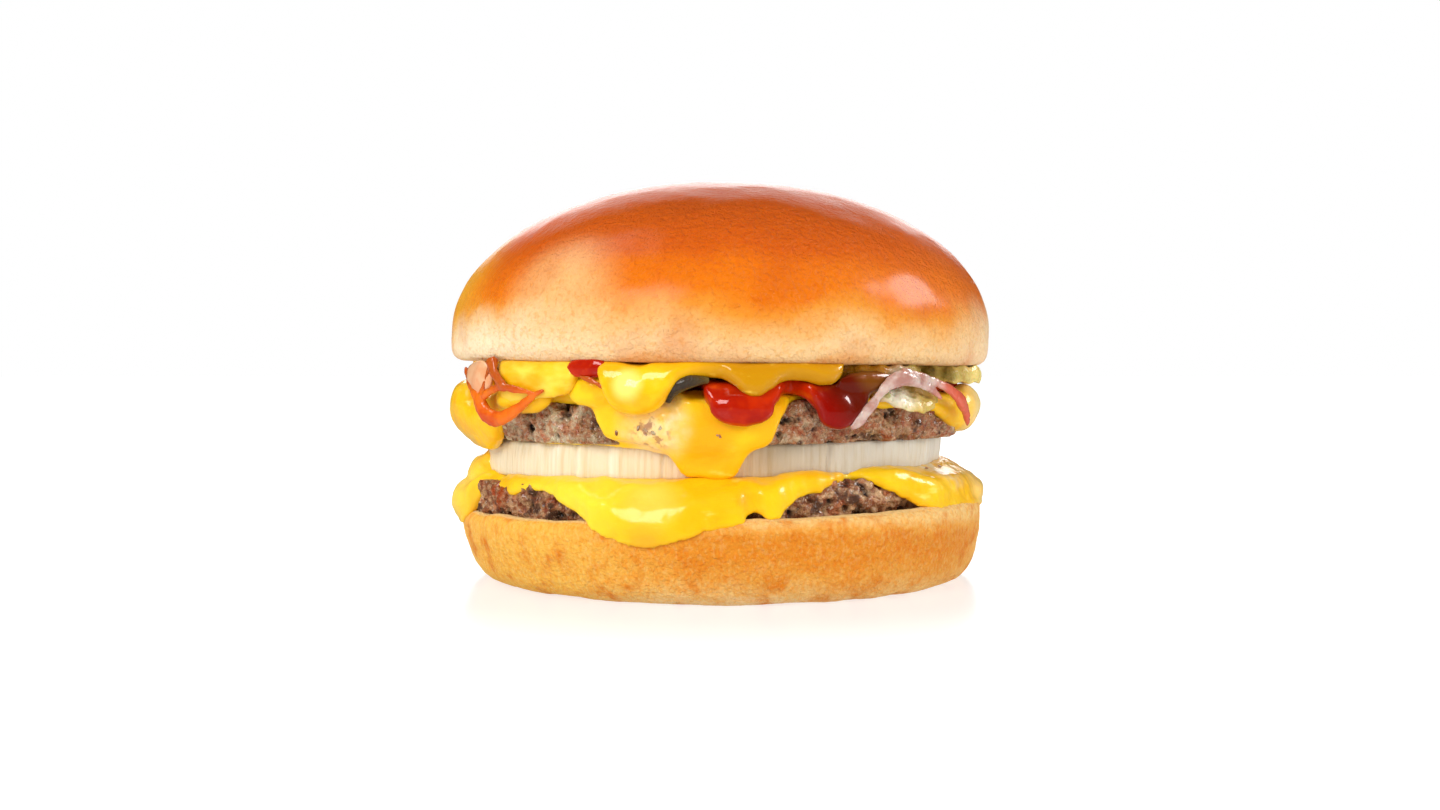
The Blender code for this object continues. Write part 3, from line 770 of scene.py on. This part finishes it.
# The slice that carries it, its angle, height and size
CRUMBS = (
    (upper_cheese, -21, 29.2, 0.6), (upper_cheese, -16, 30.2, 0.7), (upper_cheese, -14.6, 29.6, 1.0),
    (upper_cheese, -13, 29.2, 0.8), (upper_cheese, -11.6, 30.2, 0.6), (upper_cheese, 0, 28.9, 0.6),
    (lower_cheese, 53, 23.0, 0.8), (lower_cheese, 56, 22.6, 1.0), (lower_cheese, 61, 22.8, 0.7),
    (lower_cheese, 66, 21.8, 0.7), (lower_cheese, 58, 21.8, 0.6), (upper_cheese, 165, 30.0, 1.3),
    (upper_cheese, 168, 28.6, 0.9), (lower_cheese, 146, 17.0, 1.2), (lower_cheese, 211, 16.6, 0.9),
    (upper_cheese, 100, 31.0, 1.1), (upper_cheese, 228, 29.8, 1.4),
)
depsgraph = bpy.context.evaluated_depsgraph_get()
surfaces = {carrier: BVHTree.FromObject(carrier, depsgraph) for carrier in (lower_cheese, upper_cheese)}
crumbs = []
for carrier, angle, height, size in CRUMBS:
    turn = math.radians(angle)
    inwards = Vector((-math.sin(turn), math.cos(turn), 0))
    hit = surfaces[carrier].ray_cast(inwards * -0.07 + Vector((0, 0, height * MM)), inwards, 0.04)[0]
    if hit is None:
        continue
    bpy.ops.object.select_all(action="DESELECT")
    bpy.ops.mesh.primitive_ico_sphere_add(
        subdivisions=4,
        radius=size / 2 * MM,
        location=hit + inwards * 0.15 * size * MM,
        rotation=(angle, height, size),
    )
    crumb = bpy.context.object
    crumb.name = f"crumb_{len(crumbs)}"
    crumb.scale = (1.4, 0.9, 0.8)
    bpy.ops.object.transform_apply(location=True, rotation=True, scale=True)
    crumbs.append(crumb)
joined(crumbs[0], crumbs[1:])
beef_crumbs = crumbs[0]
beef_crumbs.name = "beef_crumbs"
roughened(beef_crumbs, "CLOUDS", 0.5, 0.7)
noted(beef_crumbs, "raised", np.full(len(beef_crumbs.data.vertices), 0.55))
bpy.ops.object.shade_smooth()
ridden(beef_crumbs, "browned_beef", beef)


# Onion: one thick slice cut across a raw white onion, so that its side is the outer layer's wall,
# ribbed from top to bottom by fine fibres, and its faces show the rings inside.
ONION_RADIUS = 43.9
ONION_SEAMS = (-33, -11, 27, 62, 131, 205)
ONION_RINGS = np.arange(4, 41, 3.7)


def onion_outline(angle):
    edge = ONION_RADIUS + 0.3 * lumps(angle, 43.6, 0, 9, 5.0)
    edge += 0.10 * lumps(angle, 43.6, 0, 0.8, 7.0) + 0.07 * lumps(angle, 43.6, 0, 0.35, 9.0)
    for seam in ONION_SEAMS:
        edge -= 0.45 * math.exp(-((((angle - seam + 180) % 360 - 180) / 0.55) ** 2))
    top = ONION + ONION_HEIGHT
    steps = np.arange(0, 42, 0.4)
    from_ring = np.abs(steps[:, None] - ONION_RINGS).min(axis=1)
    grooves = 0.35 * np.exp(-((from_ring / 0.35) ** 2))
    side = (
        (edge - 0.5, ONION - 0.7),
        (edge - 0.05, ONION - 0.4),
        (edge, ONION + 0.6),
        (edge + 0.08, ONION + 2.6),
        (edge, top - 0.6),
        (edge - 0.1, top + 0.1),
        (edge - 0.5, top + 0.25),
    )
    return [*zip(steps, ONION + grooves), *side, *reversed([*zip(steps, top - grooves)])]


def onion_place(points):
    """The slice has slid 0.6 mm to the left."""
    return settled(points) - (0.6, 0, 0)


onion = moulded("onion_round", onion_outline, 1120, 64, crowding=4, place=onion_place)
raw, tree, shader = finish(
    "raw_onion_moist", 0.35, Subsurface_Weight=0.3, Subsurface_Scale=0.003, Coat_Weight=0.2
)
shader.inputs["Subsurface Radius"].default_value = (1.0, 0.85, 0.55)
here = node(tree, "ShaderNodeTexCoord").outputs["Object"]
across = node(tree, "ShaderNodeSeparateXYZ", {0: here}).outputs["X"]
width = {"Value": across, "From Min": -0.045, "From Max": 0.045}
sideways = node(tree, "ShaderNodeMapRange", width).outputs[0]
# The flesh's colour runs across the slice from left to right; the dark dip just right of the middle is a
# painted shadow cast by the cheese drip.
flesh = graded(
    tree,
    sideways,
    (
        (0.00, (0.86, 0.74, 0.52)),
        (0.30, (0.84, 0.69, 0.46)),
        (0.50, (0.78, 0.59, 0.37)),
        (0.60, (0.53, 0.42, 0.28)),
        (0.75, (0.64, 0.56, 0.44)),
        (0.90, (0.74, 0.69, 0.58)),
        (1.00, (0.86, 0.83, 0.75)),
    ),
)
fibres = blotches(tree, 0.8, 0.42, 0.80, stretch=0.05)
fibrous = mixed(tree, fibres, flesh, (0.88, 0.81, 0.68), blend="MULTIPLY")
clear = mixed(tree, blotches(tree, 3.0, 0.52, 0.95, stretch=0.08, shift=2.0), fibrous, (0.97, 0.90, 0.72))
tree.links.new(clear, shader.inputs["Base Color"])
embossed(tree, shader, ((blotches(tree, 0.4, 0.3, 0.7, stretch=0.04, detail=4), 1.0),), 0.06)
ridden(onion, "raw_onion", raw, "onion_slice")


# Pickle chips: four ridge-cut slices of dill cucumber, dark green skin round pale wet flesh with
# seeds. They lie flat between the sauces, and their outer rims droop.
skin_and_flesh, tree, shader = finish(
    "dill_pickle_wet",
    0.35,
    Specular_IOR_Level=0.3,
    Subsurface_Weight=0.2,
    Subsurface_Scale=0.002,
    Coat_Weight=0.4,
    Coat_Roughness=0.1,
)
centre_of_chip = node(tree, "ShaderNodeAttribute", attribute_name="from_centre").outputs["Fac"]
body = graded(
    tree,
    centre_of_chip,
    (
        (0.00, (0.50, 0.48, 0.24)),
        (0.40, (0.62, 0.57, 0.34)),
        (0.70, (0.66, 0.58, 0.34)),
        (0.86, (0.66, 0.54, 0.22)),
        (0.97, (0.50, 0.38, 0.08)),
        (1.00, (0.22, 0.15, 0.015)),
    ),
)
# Spots painted on the chips: a yellower chip at the far right and paler flesh on the corner chip, their
# own colour; dark brown under the crown at the right and near black on the front chip, painted shade; a
# yellow patch on the corner chip, a painted glow from the cheese beside it.
body = spotted(
    tree,
    body,
    (
        (76, 40, 52, 6, 14, (0.80, 0.62, 0.18)),
        (31, 40.8, 50, 6, 11, (0.38, 0.15, 0.004)),
        (44, 34, 50, 4, 9, (0.62, 0.44, 0.10)),
        (39, 36.4, 50, 1.5, 5.5, (0.92, 0.84, 0.62)),
        (-12, 37, 48, 6, 12, (0.045, 0.030, 0.018)),
    ),
)
seeds = mixed(tree, blotches(tree, 2.4, 0.62, 0.72, detail=1), body, (0.55, 0.55, 0.30), blend="MULTIPLY")
tree.links.new(seeds, shader.inputs["Base Color"])
embossed(tree, shader, ((blotches(tree, 1.2, 0.3, 0.7), 1.0),), 0.25)

# Name, node, angle and distance of the centre, radius, underside, thickness and droop at the rim
CHIPS = (
    ("pickle_front", "pickle_chip_front", -24.5, 36.8, 10.4, DRESSING, 2.1, 0.0),
    ("pickle_corner", "pickle_chip_corner", 44.0, 40.2, 10.8, DRESSING + 0.2, 2.1, 4.4),
    ("pickle_right", "pickle_chip_right", 38.0, 38.8, 11.6, MUSTARD + 0.2, 2.7, 0.3),
    ("pickle_side", "pickle_chip_side", 73.0, 39.8, 11.2, MUSTARD - 0.7, 3.5, 0.3),
)
for name, cad_node, angle, distance, size, bottom, thickness, droop in CHIPS:
    turned = math.radians(angle)
    centre = np.array([distance * math.sin(turned), -distance * math.cos(turned)])

    def chip_outline(turn):
        edge = size + 0.22 * math.cos(math.radians(turn * 17))
        inner = [(r, 0.0) for r in np.linspace(0, edge - 1.0, 12)]
        side = (
            (edge - 0.35, 0.12),
            (edge, thickness * 0.3),
            (edge + 0.05, thickness * 0.5),
            (edge, thickness * 0.72),
            (edge - 0.35, thickness - 0.12),
        )
        return [*inner, *side, *[(r, thickness) for r, _ in reversed(inner)]]

    def chip_place(points):
        x, y, z = points.T
        ridge = 0.25 * np.sin(x * 2 * math.pi / 3.0)
        x, y = x + centre[0], y + centre[1]
        past = np.clip((np.hypot(x, y) - 43.0) / 8.0, 0, 2)
        return settled(np.stack([x, y, bottom + z + ridge - droop * past**2], axis=1))

    chip = moulded(name, chip_outline, 204, 72, crowded_from=size - 1.2, crowding=3, place=chip_place)
    noted(chip, "from_centre", np.hypot(*(places(chip)[:, :2] - centre).T) / size)
    ridden(chip, "dill_pickle", skin_and_flesh, cad_node)

SKIN_MARKS = (
    (-10, 34.6, 48.8, 0.5), (-9.4, 36.0, 49.4, 0.9), (-8, 37.2, 49.8, 1.2), (-6, 37.9, 49.9, 1.2),
    (-4, 38.2, 49.7, 0.9), (-2, 38.2, 49.2, 0.5),
)
skin = string("pickle_skin", SKIN_MARKS)
noted(skin, "from_centre", np.full(len(skin.data.vertices), 1.0))
bpy.ops.object.shade_smooth()
ridden(skin, "dill_pickle", skin_and_flesh)


# Ketchup: a thick glossy layer under the crown, squeezed out between the pickles. It hangs in two
# drips at the front and runs in strings over the cheese on the left and the pickle on the right.
red, tree, shader = finish(
    "ketchup_wet",
    0.3,
    Specular_IOR_Level=0.2,
    Specular_Tint=(1.0, 0.1, 0.04, 1.0),
    Coat_Weight=0.9,
    Coat_Roughness=0.08,
    Subsurface_Weight=0.1,
    Subsurface_Scale=0.002,
)
shader.inputs["Subsurface Radius"].default_value = (1.0, 0.15, 0.05)
pulp = mixed(tree, blotches(tree, 5, 0.40, 0.66), (0.38, 0.008, 0.001), (0.54, 0.024, 0.001))
bright = mixed(tree, blotches(tree, 3, 0.58, 0.80, shift=3.0), pulp, (0.72, 0.08, 0.005))
# Spots painted on the ketchup: a darker red on the right drip; near black and dark brown under the crown
# at the right, painted shade.
bright = spotted(
    tree,
    bright,
    (
        (24, 32.6, 50, 3, 8, (0.27, 0.002, 0.0005)),
        (31, 38.4, 50, 5, 12, (0.11, 0.006, 0.0005)),
        (32, 40.6, 50, 3, 6, (0.17, 0.05, 0.003)),
    ),
)
tree.links.new(bright, shader.inputs["Base Color"])
embossed(tree, shader, ((blotches(tree, 1.5, 0.3, 0.7), 1.0),), 0.04)

KETCHUP_MARKS = (
    (-90, 37.4), (-78, 37.0), (-70, 38.2), (-60, 38.6), (-50, 38.8), (-31, 38.8), (-28, 38.2),
    (-25, 37.4), (-22, 37.4), (-19, 38.8), (-8, 38.8), (-5.5, 38.4), (-4.2, 36.9), (-3, 34.6),
    (-1, 32.6), (2, 31.3), (5, 30.5), (7, 30.8), (9, 32.0), (11, 33.8), (13, 35.2), (15, 35.6),
    (17, 35.2), (19, 33.5), (21, 31.2), (24, 30.0), (26, 30.3), (28, 31.4), (30, 33.4), (32, 35.1),
    (35, 36.4), (38, 37.6), (42, 38.6), (50, 38.6), (58, 38.6), (66, 36.4), (74, 35.4), (84, 36.6),
    (100, 38.6), (118, 34.0), (128, 31.6), (138, 35.0), (160, 36.8), (185, 35.0), (200, 31.2),
    (212, 32.0), (224, 36.0), (250, 37.0),
)
KETCHUP_UNDER = (
    (0, -0.2), (40, -0.3), (45.2, -0.4), (47.4, -1.0), (48.3, -2.6), (48.6, -5.0), (48.2, -8.0),
)
KETCHUP_OVER = (
    (0, 2.2), (40, 2.4), (46.0, 2.4), (49.2, 1.6), (50.4, -0.8), (50.7, -4.0), (50.4, -8.0),
)


def ketchup_outline(angle):
    flare = lobed(angle, UPPER_FLARES) * 0.6
    return sheet_outline(angle, DRESSING, KETCHUP_UNDER, KETCHUP_OVER, KETCHUP_MARKS, 0.3, flare=flare)


ketchup = moulded("ketchup_layer", ketchup_outline, ROUND, 90, crowding=5)
KETCHUP_DRIPS = (
    ("ketchup_drip_main", 4.5, 33.4, 49.6, (11.0, 6.0, 3.8)),
    ("ketchup_drip_right", 23.5, 33.0, 49.4, (7.0, 6.4, 3.6)),
    ("ketchup_dab", -26, 40.2, 50.2, (8.5, 4.0, 1.6)),
    # A smear of ketchup under the crown at the right, painted dark as shade by the spots above.
    ("ketchup_glaze", 32, 37.8, 49.4, (15, 4.0, 2.6)),
)
joined(ketchup, [blob(*drip) for drip in KETCHUP_DRIPS])
fused(ketchup, 0.45, 8)
roughened(ketchup, "CLOUDS", 6, 0.5)
bpy.ops.object.shade_smooth()
ridden(ketchup, "ketchup", red, "ketchup")

LEFT_STRINGS = (
    (
        (-64, 40.2, 51.4, 0.5), (-61.8, 37.6, 51.9, 0.6), (-58.5, 35.9, 51.9, 0.9),
        (-56, 34.4, 51.7, 1.5), (-55, 32.6, 51.4, 1.7), (-52.8, 31.5, 50.9, 1.6),
        (-50, 31.1, 50.6, 1.5), (-47, 31.7, 50.3, 1.3), (-44, 32.9, 50.2, 1.1), (-41, 34.4, 50.3, 0.9),
        (-38, 35.8, 50.5, 0.6), (-36, 36.4, 50.6, 0.3),
    ),
    (
        (-56.5, 34.2, 51.6, 1.1), (-53, 35.5, 52.0, 0.8), (-49.5, 36.6, 52.2, 0.7),
        (-46, 36.9, 52.2, 0.8), (-42, 36.3, 51.8, 0.7), (-38.5, 36.0, 51.2, 0.3),
    ),
    ((-51, 41.4, 51.6, 1.6), (-50, 39.9, 52.3, 1.2), (-48.5, 38.6, 52.4, 0.9), (-46, 37.0, 52.3, 0.9)),
    ((-51.5, 40.8, 52.0, 0.45), (-52.5, 38.0, 52.3, 0.5), (-55, 35.6, 52.0, 0.6)),
    (
        (-27.5, 38.8, 50.6, 0.3), (-25.5, 38.3, 51.0, 0.6), (-23.8, 37.9, 51.4, 0.6),
        (-22, 37.0, 51.6, 0.4),
    ),
)
RIGHT_STRINGS = (
    (
        (26, 29.9, 50.0, 0.5), (28, 31.2, 50.4, 1.0), (29.3, 32.8, 50.8, 1.1), (31, 34.4, 51.0, 0.9),
        (32.4, 36.0, 51.1, 0.8), (34.4, 37.6, 51.2, 1.2), (37, 38.5, 51.2, 1.5), (40, 38.3, 51.2, 1.3),
        (43, 37.5, 51.3, 0.9), (46.5, 36.4, 51.4, 0.8), (50, 34.7, 51.3, 0.4),
    ),
    (
        (38, 40.0, 51.0, 0.4), (41, 39.3, 51.3, 0.6), (45, 38.3, 51.5, 0.7), (49.5, 37.2, 51.6, 0.8),
        (54, 35.9, 51.6, 1.0), (57.5, 34.4, 51.4, 1.3), (61, 32.5, 50.9, 1.2), (63.5, 30.6, 50.3, 0.8),
        (64.5, 29.4, 49.8, 0.3),
    ),
)

thinned, tree, shader = finish(
    "ketchup_thin_wet",
    0.25,
    Specular_IOR_Level=0.3,
    Coat_Weight=0.6,
    Coat_Roughness=0.1,
    Subsurface_Weight=0.25,
    Subsurface_Scale=0.002,
)
shader.inputs["Subsurface Radius"].default_value = (1.0, 0.35, 0.15)
watery = mixed(tree, blotches(tree, 5, 0.40, 0.66), (0.60, 0.070, 0.003), (0.78, 0.16, 0.006))
watery = mixed(tree, at_height(tree, 35.5, 37.5), watery, (0.46, 0.085, 0.006))
cloudy = blotches(tree, 2.6, 0.38, 0.64, detail=4, shift=2.0)
# The strings on the right are whitish pink: partly milky thin ketchup and partly a painted reflection of
# white light.
milky = mixed(tree, cloudy, (0.42, 0.20, 0.16), (0.60, 0.45, 0.39))
milky = mixed(tree, near(tree, 58, 34, 51, 5, 12), milky, (0.64, 0.11, 0.055))
here = node(tree, "ShaderNodeTexCoord").outputs["Object"]
rightwards = node(tree, "ShaderNodeSeparateXYZ", {0: here}).outputs["X"]
at_right = node(tree, "ShaderNodeMath", {0: rightwards, 1: 0.0}, operation="GREATER_THAN").outputs[0]
tree.links.new(mixed(tree, at_right, watery, milky), shader.inputs["Base Color"])
first, *others = (*RIGHT_STRINGS, *LEFT_STRINGS)
strings = string("ketchup_strings", first)
joined(strings, [string(f"ketchup_string_{i}", marks) for i, marks in enumerate(others)])
shape = places(strings)
far = np.hypot(shape[:, 0], shape[:, 1])
shape[:, :2] *= ((51.2 + 0.6 * (far - 51.2)) / far)[:, None]
strings.data.vertices.foreach_set("co", (shape * MM).ravel())
fused(strings, 0.22, 8)
roughened(strings, "CLOUDS", 1.8, 0.45)
bpy.ops.object.shade_smooth()
ridden(strings, "ketchup", thinned)

# A flat salmon blob on the ketchup at the left: its pale colour is a painted reflection of the light on
# the wet ketchup.
film, tree, shader = finish("ketchup_film_wet", 0.2, Coat_Weight=1.0, Coat_Roughness=0.08)
salmon = mixed(tree, blotches(tree, 3, 0.40, 0.62), (0.80, 0.34, 0.15), (0.84, 0.46, 0.24))
tree.links.new(salmon, shader.inputs["Base Color"])
salmon_film = blob("ketchup_film", -57, 38.4, 51.1, (10.5, 6.2, 2.0))
roughened(salmon_film, "CLOUDS", 3, 0.5)
bpy.ops.object.shade_smooth()
ridden(salmon_film, "ketchup", film)


# Mustard: a thick layer of yellow mustard right under the crown, smeared flat over the cheese on the
# left, with one fat lobe hanging at the left of the middle and a small one at the right of it.
yellow, tree, shader = finish(
    "yellow_mustard_wet",
    0.35,
    Specular_IOR_Level=0.3,
    Specular_Tint=(1.0, 0.8, 0.3, 1.0),
    Coat_Weight=0.7,
    Coat_Roughness=0.08,
    Subsurface_Weight=0.15,
    Subsurface_Scale=0.002,
)
shader.inputs["Subsurface Radius"].default_value = (1.0, 0.6, 0.05)
paste = mixed(tree, blotches(tree, 6, 0.40, 0.66), (0.84, 0.42, 0.002), (0.93, 0.54, 0.006))
# Painted shade: the band right under the crown, right of the middle, is painted darker.
paste = mixed(tree, near(tree, 14, 40, 51, 10, 20), paste, (0.56, 0.25, 0.001))
# Paler streaks in the mustard smeared over the cheese on the left: partly the smear's own streaks and
# partly painted highlight.
streaks = blotches(tree, 7, 0.35, 0.70, stretch=2.5, shift=7.0)
streaky = mixed(tree, overlap(tree, near(tree, -38, 38, 51, 5, 15), streaks), paste, (0.97, 0.66, 0.07))
# A painted highlight: a pale patch on the fat lobe.
lobe = mixed(tree, near(tree, -17, 37.4, 51.6, 1.2, 3.6), streaky, (1.0, 0.76, 0.16))
pale = mixed(tree, blotches(tree, 4, 0.60, 0.80, stretch=3.0, shift=2.0), lobe, (0.98, 0.68, 0.08))
tree.links.new(pale, shader.inputs["Base Color"])
embossed(tree, shader, ((blotches(tree, 1.4, 0.3, 0.7), 1.0),), 0.04)

MUSTARD_MARKS = (
    (-90, 40.8), (-76, 40.6), (-66, 40.8), (-58, 40.6), (-54, 39.6), (-51.5, 37.0), (-49.5, 34.8),
    (-46, 33.9), (-42, 34.8), (-36, 35.3), (-31, 35.6), (-29.4, 36.8), (-28.2, 39.2), (-26, 40.2),
    (-24.4, 39.6), (-23.2, 37.4), (-22, 35.5), (-20, 33.9), (-17, 32.9), (-15, 32.7), (-13, 33.4),
    (-11, 34.6), (-9, 36.4), (-7.5, 37.7), (-5, 38.3), (-2, 38.5), (0.5, 38.3), (3, 37.2), (4.5, 36.0),
    (6, 35.4), (7.8, 35.5), (10, 36.6), (12, 37.7), (14, 38.1), (17, 37.9), (20, 37.2), (22.5, 37.3),
    (24, 37.9), (25.5, 39.0), (27.5, 40.2), (30, 40.8), (45, 40.6), (70, 40.6), (92, 40.0), (110, 38.6),
    (140, 38.4), (156, 35.8), (164, 34.4), (172, 36.4), (190, 38.8), (225, 38.4), (240, 35.6),
    (248, 35.2), (256, 38.0), (264, 39.6),
)
MUSTARD_UNDER = (
    (0, 0.9), (40, 0.8), (46.0, 0.7), (48.0, 0.3), (49.0, -1.2), (49.3, -3.6), (49.1, -7.0),
)
MUSTARD_OVER = (
    (0, 2.6), (40, 2.6), (47.6, 3.0), (50.4, 2.8), (51.6, 0.8), (51.9, -2.8), (51.5, -6.6),
)


def mustard_outline(angle):
    thin = lobed(angle, ((-42, 12, 0.7),))
    return sheet_outline(angle, MUSTARD, MUSTARD_UNDER, MUSTARD_OVER, MUSTARD_MARKS, 0.25, thin=thin)


mustard = moulded("mustard_layer", mustard_outline, ROUND, 90, crowding=5)
lobes = [
    blob("mustard_lobe", -16, 36.2, 49.6, (11, 8.0, 6.0)),
    blob("mustard_small_lobe", 7, 38.0, 50.2, (6.4, 4.0, 2.6)),
]
joined(mustard, lobes)
fused(mustard, 0.45, 12)
roughened(mustard, "CLOUDS", 8, 0.4)
bpy.ops.object.shade_smooth()
ridden(mustard, "yellow_mustard", yellow, "mustard")


# Crown: the domed top of the bun, glazed before baking, deep glossy orange brown on top and fading
# to a pale soft band at its foot, with fine wrinkles in the glaze. It lies loose on the sauces.
FOOT_HEIGHT = 5.3


def crown_outline(angle):
    uneven = 1 + 0.004 * lumps(angle, BUN_RADIUS, 0, 40, 8.0)
    rim = (
        (48.4, 0.0), (50.0, 0.08), (51.1, 0.5), (51.7, 1.3),
        (51.95, 2.4), (52.05, 3.8), (52.0, FOOT_HEIGHT),
    )
    wall = [(radius * uneven, CROWN + height) for radius, height in rim]
    dome = [
        (
            BUN_RADIUS * uneven * math.cos(turn) ** 0.97,
            CROWN + FOOT_HEIGHT + (CROWN_HEIGHT - FOOT_HEIGHT) * math.sin(turn) ** 0.97,
        )
        for turn in np.radians(np.arange(3, 89, 3))
    ]
    return [(0, CROWN), (28, CROWN), *wall, *dome, (0, CROWN_TOP)]


crown = moulded("bun_crown", crown_outline, ROUND, 102, crowded_from=49, crowding=1.6)
roughened(crown, "CLOUDS", 22, 1.0)
roughened(crown, "CLOUDS", 4, 0.10)
glazed, tree, shader = finish(
    "glazed_crust_shiny",
    0.4,
    Specular_IOR_Level=0.22,
    Specular_Tint=(1.0, 0.5, 0.08, 1.0),
    Coat_Roughness=0.2,
    Subsurface_Weight=0.08,
    Subsurface_Scale=0.002,
)
shader.inputs["Subsurface Radius"].default_value = (1.0, 0.4, 0.15)
# The colour follows height, on a line tilted a little so that the paler colours reach higher at the left:
# painted light.
dome = graded(
    tree,
    at_height(tree, 41, 76, waver=3.6, size=16, tilt=0.02),
    (
        (0.00, (0.80, 0.42, 0.16)),
        (0.04, (0.84, 0.54, 0.26)),
        (0.11, (0.86, 0.56, 0.27)),
        (0.19, (0.85, 0.45, 0.15)),
        (0.27, (0.82, 0.29, 0.028)),
        (0.34, (0.79, 0.18, 0.002)),
        (0.46, (0.76, 0.155, 0.001)),
        (0.58, (0.66, 0.105, 0.001)),
        (0.80, (0.58, 0.088, 0.001)),
        (1.00, (0.52, 0.080, 0.003)),
    ),
)
low = at_height(tree, 53, 46, waver=3.0, size=8, tilt=-0.04)
# Painted light: a pale glow left of the front for the broad highlight of the lamp there, the far left and
# the foot at the left painted paler where the lamps light them, and the foot at the far right painted
# paler for the highlight there.
for angle, height, outer, mask, colour in (
    (-33, 52, 15, 1.0, (0.90, 0.48, 0.18)),
    (-78, 52, 22, 1.0, (0.94, 0.42, 0.02)),
    (-60, 44, 46, low, (0.93, 0.74, 0.48)),
    (84, 44, 34, low, (0.92, 0.68, 0.42)),
):
    spread = overlap(tree, near(tree, angle, height, 49, 3, outer), mask)
    dome = mixed(tree, spread, dome, colour)
dome = mixed(tree, blotches(tree, 0.8, 0.50, 0.68, detail=4), dome, (0.95, 0.84, 0.68), blend="MULTIPLY")
up = at_height(tree, 43, 52, waver=3.0, size=12)
for socket, at_foot, on_top in (("Coat Weight", 0.05, 0.26), ("Roughness", 0.6, 0.36)):
    glaze = node(tree, "ShaderNodeMapRange", {"Value": up, "To Min": at_foot, "To Max": on_top})
    tree.links.new(glaze.outputs[0], shader.inputs[socket])
ruddy = mixed(tree, blotches(tree, 12, 0.48, 0.75), dome, (0.60, 0.09, 0.002))
tree.links.new(mixed(tree, 0.35, dome, ruddy), shader.inputs["Base Color"])
wrinkles = blotches(tree, 1.3, 0.35, 0.65, detail=5)
embossed(tree, shader, ((wrinkles, 1.0), (blotches(tree, 0.5, 0.3, 0.7, detail=4), 0.6)), 0.26)
ridden(crown, "glazed_crust", glazed, "crown")
